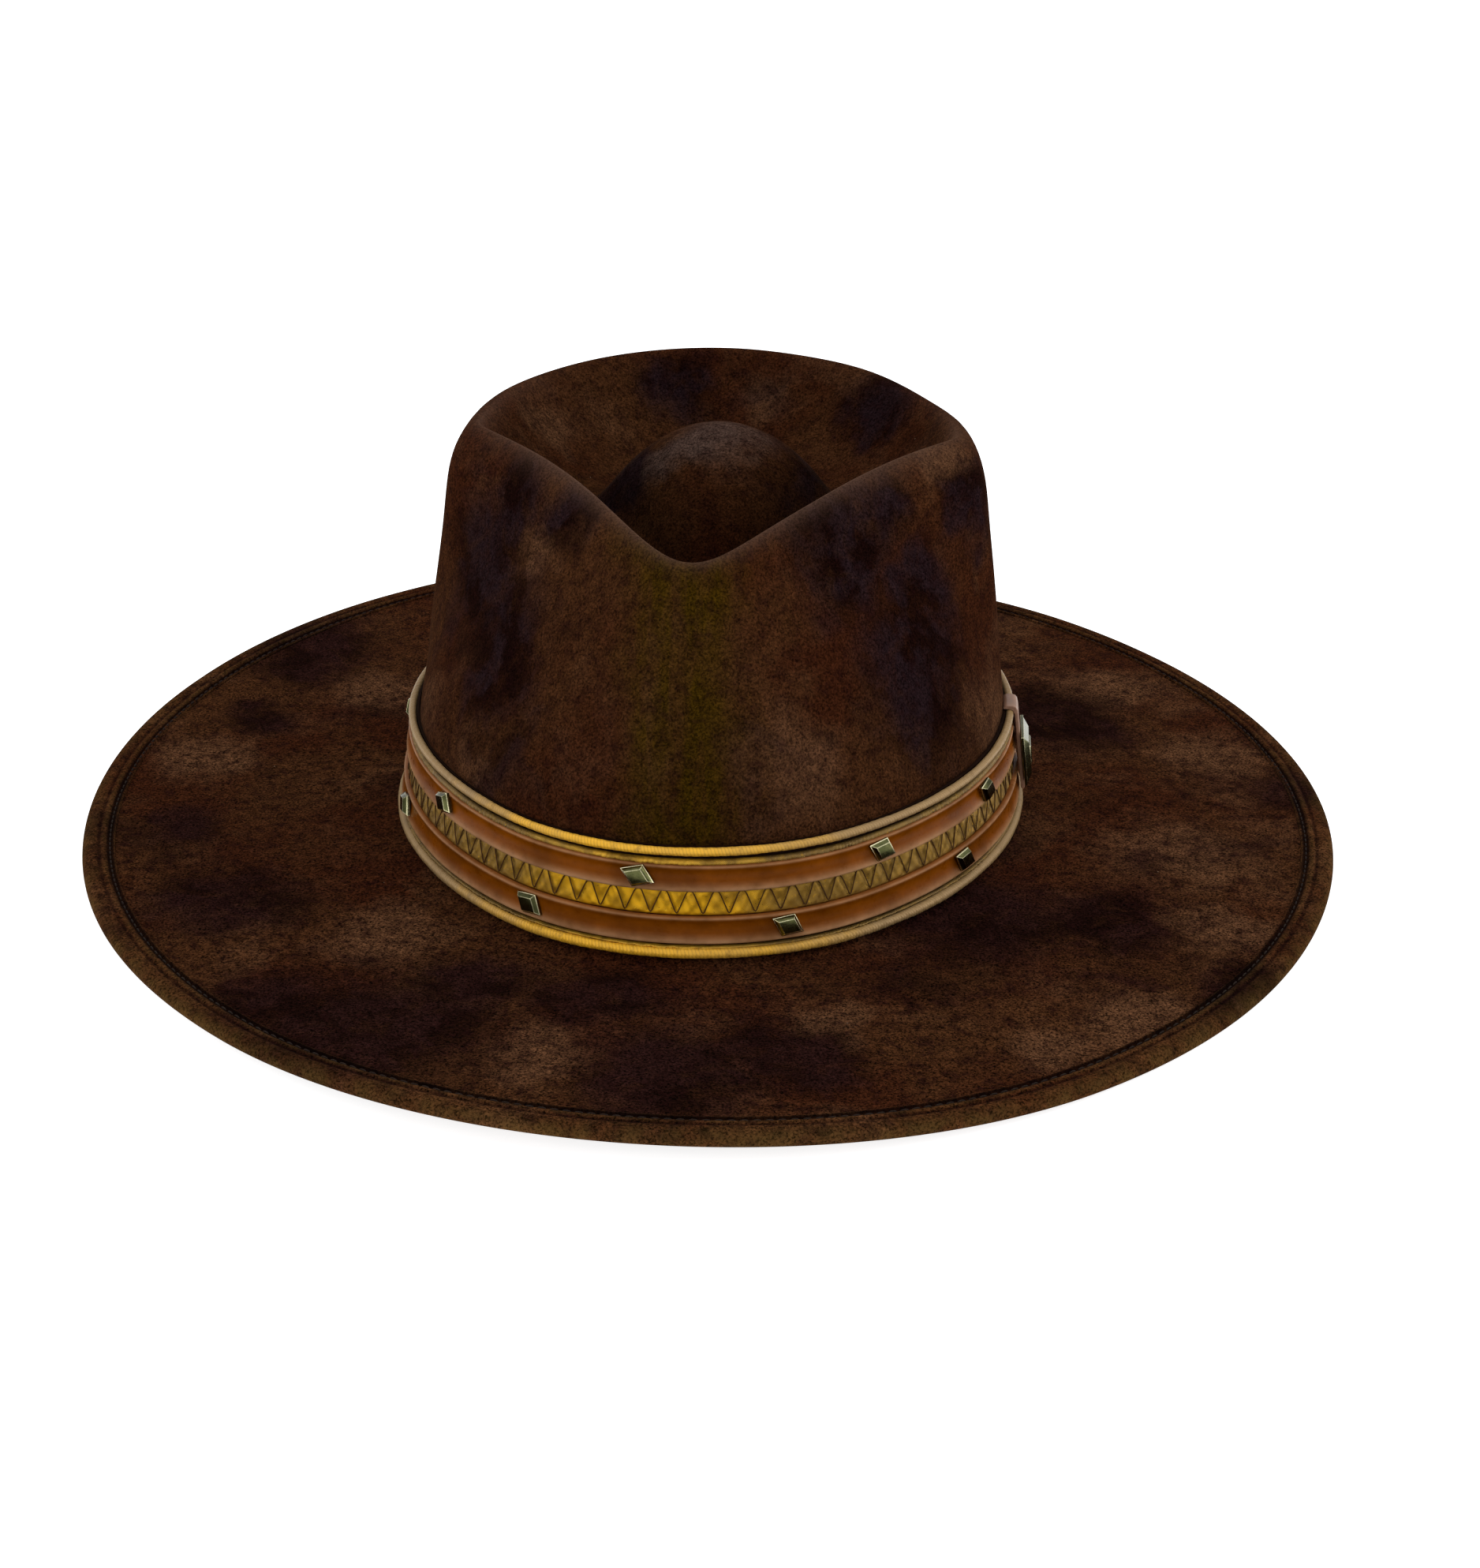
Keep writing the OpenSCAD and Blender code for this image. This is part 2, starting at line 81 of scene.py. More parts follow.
BAND_TOP = UPPER_PIPING_Z + UPPER_CORD
BAND_MIDDLE = (BAND_BASE + BAND_TOP) / 2

UPPER_STUDS = (-222, -150, -80, -10, 57, 106, 190, 256)
LOWER_STUDS = (-256, -184, -112, -40, 28, 90, 222, 290)
STUD_LENGTH, STUD_ACROSS, STUD_RISE, STUD_BEVEL = 6, 5.2, 1.7, 0.85
STUD_SKEW, STUD_TURN = radians(20), radians(11)
STUD_DENT = 4.2

KEEPER_LEATHER = 1.1
KEEPER_HALF_WIDTH = 4.75
KEEPER_BACK = BACKING_FACE + 2 * UPPER_CORD + 0.15
KEEPER_FACE = KEEPER_BACK + KEEPER_LEATHER
CONCHO_LENGTH, CONCHO_HEIGHT, CONCHO_RISE, CONCHO_BEVEL = 17, 14.5, 2.2, 2.6

SWEAT_BACK = FELT + 0.8
SWEAT_FRONT = SWEAT_BACK + 1.1
SWEAT_BASE = 2.15
SWEAT_TOP = 37

# how far the edge of the brim waves up and down by hand shaping, in millimetres
WAVE = ((-2.3, 0), (-0.9, -0.8), (0.7, 1.1))
FLOOR_Z = -2.95


# ---- the oval and the crown
def smooth(v):
    v = clip(v, 0, 1)
    return v * v * (3 - 2 * v)


def oval(turn, reach):
    """Point of the shared oval for a normal direction, pushed out by reach."""
    c, s = cos(turn), sin(turn)
    side = arctan2(np.abs(s), np.abs(c)) <= JOIN
    x = np.where(side, -np.sign(c) * SIDE_CENTRE + (SIDE_RADIUS + reach) * c, (END_RADIUS + reach) * c)
    y = np.where(side, (SIDE_RADIUS + reach) * s, np.sign(s) * END_CENTRE + (END_RADIUS + reach) * s)
    return x, y


def turn_at(place, reach=0):
    """Normal direction at a distance from the front centre along the oval pushed out."""
    end, side = END_RADIUS + reach, SIDE_RADIUS + reach
    end_arc = (pi / 2 - JOIN) * end
    quarter = end_arc + JOIN * side
    p = (np.asarray(place, float) + 2 * quarter) % (4 * quarter) - 2 * quarter
    a = np.abs(p)
    turned = np.where(a <= end_arc, a / end,
                      np.where(a <= 2 * quarter - end_arc, pi / 2 - JOIN + (a - end_arc) / side,
                               pi - (2 * quarter - a) / end))
    return np.sign(p) * turned - pi / 2


def even_turns(count, reach):
    """Normal directions of evenly spaced places on the oval pushed out."""
    return [float(turn_at((PERIMETER + 2 * pi * reach) * k / count, reach)) for k in range(count)]


def wall_in(z):
    return np.where(z > BRIM_TOP, -LEAN * (z - BRIM_TOP), 0)


def brim_wave(turn, reach):
    """Height that the hand-shaped brim adds at a reach from the crown."""
    ramp = clip(reach / BRIM_WIDTH, 0, 1) ** 1.4
    total = sum(a * cos((i + 1) * turn) + b * sin((i + 1) * turn) for i, (a, b) in enumerate(WAVE))
    return ramp * total


def blend_round(turn, front, side, back, power=1.5):
    """A value that goes from front over side to back round the crown."""
    s = sin(turn)
    return side + (np.where(s < 0, front, back) - side) * np.abs(s) ** power


def crisp_round(turn, front, side, back):
    """The same, but changing fastest right at the front."""
    s = sin(turn)
    share = np.where(s < 0, 1 - (1 + np.minimum(s, 0)) ** 2.5, np.maximum(s, 0) ** 1.5)
    return side + (np.where(s < 0, front, back) - side) * share


RIDGE_HALF_WIDTH, RIDGE_FRONT, RIDGE_BACK = 65, 77.5, 75
FRONT_HEIGHT, SIDE_HEIGHT, BACK_HEIGHT = 100.5, 112, 112.5
CREASE_DEPTH, DOME_HEIGHT = 25, 110
WALL_START = 38
FRONT_CURVE, TIP_ROUND, SIDE_ROUND, RIDGE_POWER = 0.76, 0.26, 0.1, 2.2
CREASE_SCALE, CREASE_SHIFT = 0.52, 3
DOME_SHIFT, DOME_HALF_WIDTH, DOME_HALF_LENGTH, DOME_SOFT = 4, 37, 39, 0.35


def plan(turn, scale=1, shift=0):
    """Plan of the ridge: a V in front and a round back."""
    s, c = sin(turn), cos(turn)
    away = (sqrt(s * s + SIDE_ROUND ** 2) - SIDE_ROUND) / (sqrt(1 + SIDE_ROUND ** 2) - SIDE_ROUND)
    f = 1 - away ** FRONT_CURVE
    v = sqrt(np.maximum(f * f + 2 * f * TIP_ROUND, 0)) / sqrt(1 + 2 * TIP_ROUND)
    x = np.sign(c) * RIDGE_HALF_WIDTH * scale * np.where(s < 0, v, np.abs(c))
    y = shift + s * scale * np.where(s < 0, RIDGE_FRONT, RIDGE_BACK)
    return x, y


def plan_normal(turn):
    step = radians(1)
    x0, y0 = plan(turn - step)
    x1, y1 = plan(turn + step)
    n = hypot(x1 - x0, y1 - y0)
    return (y1 - y0) / n, -(x1 - x0) / n


def crown_rows(turn, rows):
    """Rows of points on the crown's outer face, from its base to the top of the dome."""
    ridge = blend_round(turn, FRONT_HEIGHT, SIDE_HEIGHT, BACK_HEIGHT, RIDGE_POWER)
    reach = blend_round(turn, 4, 9.5, 9)
    drop = blend_round(turn, 9, 19, 12)
    a0 = radians(blend_round(turn, 36, 12, 16))
    a1 = radians(crisp_round(turn, 58, 80, 84))
    nx, ny = plan_normal(turn)
    px, py = plan(turn)
    half_width, half_length = SIDE_RADIUS - SIDE_CENTRE, END_RADIUS + END_CENTRE
    base = arctan2(sin(turn) * half_width ** 0.6, cos(turn) * half_length ** 0.6)
    lower, wall, roll, slope, dome = rows
    # crest marks the ridge for a paler line of wear and painted highlight; hollow marks the crease's inner
    # slopes and the dome's foot for painted shade; both fade out towards the back
    out, crest, hollow = [], [], []
    frontward = smooth(0.6 - 0.7 * sin(turn))

    def add(x, y, z, near_crest, inside=0):
        lean = 0.5 * np.maximum(z - WALL_START, 0) / (SIDE_HEIGHT - WALL_START)
        out.append(stack([x + lean, y, z + 0 * x], 1))
        crest.append((near_crest + 0 * x) * frontward)
        hollow.append(inside * frontward)

    for v in linspace(0, 1, lower, endpoint=False):
        z = BRIM_LOW + (WALL_START - BRIM_LOW) * v
        x, y = oval(base, wall_in(z))
        add(x, y, z, 0)
    ax, ay = oval(base, wall_in(WALL_START))
    q = blend_round(turn, 0.8, 1.05, 0.75)
    for v in linspace(0, 1, wall, endpoint=False):
        g = v * (q + (1 - q) * v)
        add(ax + (px + nx * reach - ax) * g, ay + (py + ny * reach - ay) * g,
            WALL_START + (ridge - drop - WALL_START) * v, 0)
    for v in linspace(0, 1, roll, endpoint=False):
        a = a0 + (a1 - a0) * v
        h = reach * (cos(a) - cos(a1)) / (cos(a0) - cos(a1))
        z = drop * (1 - (sin(a) - sin(a0)) / (sin(a1) - sin(a0)))
        add(px + nx * h, py + ny * h, ridge - z, v ** 5)
    for v in linspace(0, 1, slope, endpoint=False):
        x, y = plan(turn, 1 - (1 - CREASE_SCALE) * v, CREASE_SHIFT * v)
        deep = sin(pi / 2 * v) ** 0.92
        add(x, y, ridge - CREASE_DEPTH * deep, max(0, 1 - 6 * v) ** 2, float(smooth(6 * v - 0.3)))
    low = ridge - CREASE_DEPTH
    cx, cy = plan(turn, CREASE_SCALE, CREASE_SHIFT)
    for v in linspace(0, 1, dome + 1):
        k = 1 - v
        keep = k * k
        rise = DOME_SOFT * (1 - cos(pi * v)) / 2 + (1 - DOME_SOFT) * (1 - k ** 3)
        x = cx * keep + DOME_HALF_WIDTH * cos(turn) * (1 - keep)
        y = (cy - DOME_SHIFT) * keep + DOME_HALF_LENGTH * sin(turn) * (1 - keep)
        add(x * k, DOME_SHIFT + y * k, low + (DOME_HEIGHT - low) * rise, 0, float(smooth(1.6 * k - 0.35)))
    return np.array(out), {"crest": np.array(crest), "hollow": np.array(hollow)}


def grid_normals(grid):
    along = np.roll(grid, -1, 1) - np.roll(grid, 1, 1)
    up = np.empty_like(grid)
    up[1:-1] = grid[2:] - grid[:-2]
    up[0] = grid[1] - grid[0]
    up[-1] = grid[-1] - grid[-2]
    n = np.cross(along, up)
    size = np.linalg.norm(n, axis=2, keepdims=True)
    return np.where(size > 1e-9, n / np.maximum(size, 1e-9), (0, 0, 1))


def crown_grid(columns, rows, soften):
    """The crown's face, softened along its profile."""
    turn = -pi / 2 + 2 * pi * (np.arange(columns) + 0.5) / columns
    grid, masks = crown_rows(turn, rows)
    for _ in range(soften):
        grid[1:-1] = 0.25 * grid[:-2] + 0.5 * grid[1:-1] + 0.25 * grid[2:]
        grid[-1] = grid[-1].mean(0)
    return grid, masks


# places on the crown top, (x, y, radius, lift), that a hand has pressed down or pulled up
SHAPED_BY_HAND = ((56, 46, 26, -1.8), (-20, 72, 34, 0.8))


def noise_at(x, y, z):
    """Noise, -1 to 1, for arrays of coordinates."""
    return np.vectorize(lambda *p: noise.noise(Vector(p)), otypes=[float])(x, y, z)


def handmade(grid, normals, amount, size, seed):
    """Slow unevenness of shaped felt, pushed along the normals."""
    moved = grid.copy()
    for x, y, radius, lift in SHAPED_BY_HAND:
        near = exp(-((grid[..., 0] - x) ** 2 + (grid[..., 1] - y) ** 2) / radius ** 2)
        moved[..., 2] += lift * near * smooth((grid[..., 2] - 60) / 40)
    where = grid / size + np.array((seed, 1.7 * seed, -seed))
    return moved + normals * amount * noise_at(*np.moveaxis(where, -1, 0))[..., None]


# ---- making meshes
def build(name, points, faces, material, uvs=None, sharp=None, masks=None):
    """A mesh object from points in millimetres, with uvs for each corner of each face."""
    mesh = bpy.data.meshes.new(name)
    mesh.from_pydata((np.asarray(points, float) * MM).tolist(), [], faces)
    if uvs is not None:
        layer = mesh.uv_layers.new(name="along")
        layer.data.foreach_set("uv", np.asarray(uvs, float).ravel())
    for key, values in (masks or {}).items():
        data = mesh.attributes.new(key, "FLOAT", "POINT")
        data.data.foreach_set("value", np.asarray(values, float).ravel())
    mesh.polygons.foreach_set("use_smooth", [True] * len(mesh.polygons))
    mesh.update()
    bm = bmesh.new()
    bm.from_mesh(mesh)
    bmesh.ops.recalc_face_normals(bm, faces=bm.faces)
    bm.to_mesh(mesh)
    bm.free()
    if sharp is not None:
        mesh.set_sharp_from_angle(angle=sharp)
    mesh.materials.append(material)
    return add_object(name, mesh)


def add_object(name, data):
    obj = bpy.data.objects.new(name, data)
    bpy.context.collection.objects.link(obj)
    return obj


def settle(piece, slot, *nodes):
    """Hide the parts that a piece replaces and tie it to the body; slot, the name of what it is made of, is
    not used.
    """
    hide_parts(*nodes)
    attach(piece, BODY)


def ring_faces(rows, cols, offset=0, closed_rows=True):
    last = rows if closed_rows else rows - 1
    i, j = np.meshgrid(np.arange(last), np.arange(cols), indexing="ij")
    i2, j2 = (i + 1) % rows, (j + 1) % cols
    quads = stack([i * cols + j, i * cols + j2, i2 * cols + j2, i2 * cols + j], -1)
    return (quads.reshape(-1, 4) + offset).tolist()


def ring_uvs(u, v):
    """Corner coordinates of ring_faces; u and v have one entry more than the grid."""
    i, j = np.meshgrid(np.arange(len(v) - 1), np.arange(len(u) - 1), indexing="ij")
    corners = [stack([u[j + b], v[i + a]], -1) for a, b in ((0, 0), (0, 1), (1, 1), (1, 0))]
    return stack(corners, 2).reshape(-1, 2)


def ring_piece(name, section, count, material, on_wall=True, change=None, masks=None, sharp=None):
    """Sweep a closed section, (reach, z) points, round the oval in count steps, against the crown's wall
    or with the brim's wave. change(places, reach, z) may bend the section along the way."""
    place = -PERIMETER / 2 + PERIMETER * np.arange(count) / count
    turn = turn_at(place)[None]
    section = np.array(section, float)
    reach, z = (np.repeat(section[:, k:k + 1], count, 1) for k in (0, 1))
    if change is not None:
        reach, z = change(np.repeat(place[None], len(section), 0), reach, z)
    if on_wall:
        reach = reach + wall_in(z)
    else:
        z = z + brim_wave(turn, reach)
    x, y = oval(turn, reach)
    points = stack([x, y, z], -1).reshape(-1, 3)
    steps = hypot(*np.diff(np.vstack([section, section[:1]]), axis=0).T)
    uvs = ring_uvs(np.append(place, PERIMETER / 2), np.concatenate([[0], np.cumsum(steps)]))
    spread = {key: np.repeat(mask, count) for key, mask in (masks or {}).items()}
    return build(name, points, ring_faces(len(section), count), material, uvs, sharp, spread)


def arc(cx, cz, radius, start, end, count):
    """Points of an arc in a section, angles in degrees."""
    a = radians(linspace(start, end, count))
    return [(cx + radius * cos(t), cz + radius * sin(t)) for t in a]


def tube(path, radius, sides, closed=False):
    """A round tube along points, with closed ends unless it is a loop."""
    path = np.asarray(path, float)
    n = len(path)
    ahead, behind = np.roll(path, -1, 0), np.roll(path, 1, 0)
    if not closed:
        ahead[-1], behind[0] = path[-1], path[0]
    t = ahead - behind
    t /= np.linalg.norm(t, axis=1, keepdims=True)
    side = np.cross(t, (0, 0, 1))
    side /= np.linalg.norm(side, axis=1, keepdims=True)
    lift = np.cross(side, t)
    radius = np.broadcast_to(np.asarray(radius, float), (n,))[:, None, None]
    a = (2 * pi * np.arange(sides) / sides)[None, :, None]
    ring = path[:, None] + radius * (side[:, None] * cos(a) + lift[:, None] * sin(a))
    faces = ring_faces(n, sides, closed_rows=closed)
    if not closed:
        faces += [list(range(sides)), [(n - 1) * sides + k for k in range(sides)]]
    return ring.reshape(-1, 3), faces


def join_parts(name, parts, material, sharp=None):
    """One object from several (points, faces) lists."""
    points, faces, start = [], [], 0
    for p, f in parts:
        points.append(np.asarray(p, float))
        faces += [[k + start for k in q] for q in f]
        start += len(p)
    return build(name, np.vstack(points), faces, material, sharp=sharp)


def on_band(place, z, reach):
    """Frame on the leaning wall: x outward, y along the band, z up it."""
    t = float(turn_at(place))
    x, y = oval(t, float(wall_in(z)))
    turn = Matrix.Rotation(t, 4, "Z") @ Matrix.Rotation(-arctan(LEAN), 4, "Y")
    out = Matrix.Translation(Vector((reach, 0, 0)))
    return Matrix.Translation(Vector((float(x), float(y), z))) @ turn @ out


def bevelled_box(corners, width, segments):
    """A convex block from eight corners (low ring then high ring), with rounded edges."""
    bm = bmesh.new()
    v = [bm.verts.new(c) for c in corners]
    for f in ((3, 2, 1, 0), (4, 5, 6, 7), (0, 1, 5, 4), (1, 2, 6, 5), (2, 3, 7, 6), (3, 0, 4, 7)):
        bm.faces.new([v[k] for k in f])
    bmesh.ops.bevel(bm, geom=bm.edges[:], offset=width, segments=segments, profile=0.7, affect="EDGES")
    bmesh.ops.recalc_face_normals(bm, faces=bm.faces)
    bm.verts.index_update()
    out = [tuple(p.co) for p in bm.verts], [[p.index for p in f.verts] for f in bm.faces]
    bm.free()
    return out


def frustum(x0, x1, y_low, z_low, y_high, z_high):
    """Corners of a block that narrows outward along x."""
    corners = ((-1, -1), (1, -1), (1, 1), (-1, 1))
    return ([(x0, a * y_low, b * z_low) for a, b in corners]
            + [(x1, a * y_high, b * z_high) for a, b in corners])


def placed(part, matrix):
    points, faces = part
    return [tuple(matrix @ Vector(p)) for p in points], faces


# ---- node helpers
class Paint:
    """A material in the making, with a short method for each kind of node it needs."""

    def __init__(self, name):
        self.material = bpy.data.materials.new(name)
        self.material.use_nodes = True
        self.tree = self.material.node_tree
        self.shader = self.tree.nodes["Principled BSDF"]
        self.relief = None
        # object position in millimetres
        self.at = self.vector("SCALE", self.node("TexCoord").outputs["Object"], scale=1 / MM)

    def put(self, socket, value):
        if isinstance(value, bpy.types.NodeSocket):
            self.tree.links.new(value, socket)
        elif socket.type == "RGBA":
            socket.default_value = (*value, 1)
        else:
            socket.default_value = value

    def node(self, kind, inputs=None, **settings):
        made = self.tree.nodes.new("ShaderNode" + kind)
        for key, value in settings.items():
            setattr(made, key, value)
        for key, value in (inputs or {}).items():
            if value is not None:
                self.put(made.inputs[key], value)
        return made

    def maths(self, operation, a, b=0, c=0):
        return self.node("Math", {0: a, 1: b, 2: c}, operation=operation).outputs[0]

    def product(self, a, b):
        return self.maths("MULTIPLY", a, b)

    def vector(self, operation, a, b=None, scale=None):
        inputs = {0: a, 1: b} if scale is None else {0: a, "Scale": scale}
        made = self.node("VectorMath", inputs, operation=operation)
        return made.outputs["Value" if operation in ("DISTANCE", "DOT_PRODUCT") else 0]

    def mix(self, factor, a, b, blend="MIX"):
        made = self.node("Mix", {0: factor, 6: a, 7: b}, data_type="RGBA", blend_type=blend)
        return made.outputs[2]

    def fade(self, value, low, high, out_low=0, out_high=1, kind="SMOOTHSTEP"):
        inputs = dict(enumerate((value, low, high, out_low, out_high)))
        return self.node("MapRange", inputs, interpolation_type=kind).outputs[0]

    def ramp(self, value, out_low, out_high, low=0.3, high=0.7):
        return self.fade(value, low, high, out_low, out_high, "LINEAR")

    def cloud(self, where, size, detail=3, rough=0.55, distortion=0, offset=None, output="Fac"):
        """Noise whose features are about size millimetres."""
        if offset is not None:
            where = self.vector("ADD", where, offset)
        inputs = {"Vector": where, "Scale": 1 / size, "Detail": detail, "Roughness": rough}
        return self.node("TexNoise", {**inputs, "Distortion": distortion}).outputs[output]

    def attribute(self, name):
        return self.node("Attribute", attribute_name=name).outputs["Fac"]

    def split(self, where):
        return self.node("SeparateXYZ", {0: where}).outputs

    def along(self):
        """Distance along a band piece and across it, in millimetres."""
        return self.split(self.node("UVMap", uv_map="along").outputs[0])[:2]

    def over(self, factor, colour):
        """Lay a colour over the one so far."""
        self.colour = self.mix(factor, self.colour, colour)

    def times(self, value):
        """Multiply the colour so far by a plain value."""
        grey = self.node("CombineColor", {0: value, 1: value, 2: value}).outputs[0]
        self.colour = self.mix(1, self.colour, grey, "MULTIPLY")

    def shades(self, value, base, dark, light):
        """Start with a base colour between dark and light times itself."""
        self.colour = self.mix(self.fade(value, 0.3, 0.7), tinted(base, dark), tinted(base, light))

    def bump(self, height, depth, strength):
        """Relief of a depth in millimetres, laid over the relief before it."""
        inputs = {"Height": height, "Distance": depth * MM, "Strength": strength, "Normal": self.relief}
        self.relief = self.node("Bump", inputs).outputs[0]

    def finish(self, roughness, specular=0.5, **others):
        """Set the shader's own sockets and hand the material over."""
        sockets = {"Base Color": self.colour, "Roughness": roughness, "Specular IOR Level": specular,
                   "IOR": 1.45, "Coat Roughness": 0.3, "Normal": self.relief}
        sockets.update({key.replace("_", " ").title(): value for key, value in others.items()})
        for key, value in sockets.items():
            if value is not None:
                self.put(self.shader.inputs[key], value)
        return self.material


def tinted(colour, factor):
    return tuple(c * factor for c in colour)


# ---- materials
BROWN = (0.031, 0.0115, 0.0043)
RED_BROWN = (0.0235, 0.0066, 0.0026)
PALE_BROWN = (0.06, 0.0268, 0.0125)
# dark dyed colours, also painted as shade at some listed spots
DARK_DYE_AND_SHADE = (0.0046, 0.0014, 0.0011)
PLUM_DYE_AND_SHADE = (0.0095, 0.0046, 0.0055)
WINE_DYE_AND_SHADE = (0.0108, 0.0036, 0.0032)
WINE_FLECK = (0.015, 0.004, 0.0038)
OLIVE = (0.024, 0.013, 0.0006)
# pale ridge colour: wear and a painted highlight along the crown's crest
WORN_EDGE_AND_HIGHLIGHT = (0.108, 0.059, 0.04)
# greyish painted highlight on the dome's top
DOME_TOP_GREY_HIGHLIGHT = (0.047, 0.0325, 0.0285)
WELT_GOLD = (0.078, 0.044, 0.0125)
# painted shade in the welt's stitch groove
GROOVE_SHADE_COLOUR = (0.0025, 0.0013, 0.0012)
LINT = (0.32, 0.24, 0.17)
# strengths of the crest's wear and painted highlight, the crease's painted shade, the welt rim's wear and
# painted highlight, and the groove's painted shade
CREST_WEAR_AND_HIGHLIGHT, HOLLOW_SHADE, RIM_WEAR_AND_HIGHLIGHT, GROOVE_SHADE = 0.85, 0.45, 0.7, 0.85
PORE_SIZE = 0.9

# the dyed clouds, listed: centre and radius in millimetres. Some dark spots stand for painted shade in the
# crown's crease and on the brim beside the band, some pale spots for painted light on the right of the brim
# and crown, and the crown's top spots for a painted highlight on the dome
CROWN_DARK = ((57, -47, 60, 21), (60, -36, 80, 12), (37, -48, 97, 17), (46, -36, 104, 10),
              (20, 4, 96, 12), (-26, -2, 94, 9), (-53, -50, 66, 19), (-61, -29, 80, 17),
              (-50, -32, 99, 12), (-32, -49, 103, 9), (-19, 65, 106, 10), (42, 50, 104, 12),
              (70, -10, 94, 10), (36, 6, 100, 11), (10, 86, 70, 20), (-66, 40, 60, 18))
CROWN_PALE = ((-40, -47, 91, 9), (64, -13, 106, 10), (-49, 29, 101, 10), (8, 66, 103, 9),
              (28, -89, 50, 16), (-48, -66, 40, 14), (72, -16, 36, 18), (-66, -32, 40, 14))
CROWN_DOME_TOP_HIGHLIGHT = ((-2, -2, 110, 14), (-18, -10, 106, 9))
BRIM_DARK = ((-70, -150, 3, 27), (-98, -136, 3, 16), (-143, -38, 3, 11), (-120, -80, 3, 18),
             (74, -72, 3, 25), (107, -69, 3, 17), (31, -153, 3, 17), (6, -168, 3, 20), (-134, 94, 3, 22),
             (-140, 41, 3, 11), (97, 66, 3, 22), (-49, -125, 3, 15), (147, -105, 3, 14),
             (-17, -130, 3, 17), (20, 158, 3, 26), (167, 20, 3, 13))
BRIM_PALE = ((-148, 8, 3, 17), (-27, -160, 3, 15), (117, -125, 3, 20), (96, -140, 3, 14),
             (132, -28, 3, 24), (141, -72, 3, 17), (115, 93, 3, 19), (144, 46, 3, 20), (-76, -98, 3, 19),
             (-108, 63, 3, 18), (41, -136, 3, 12), (-60, 150, 3, 24))


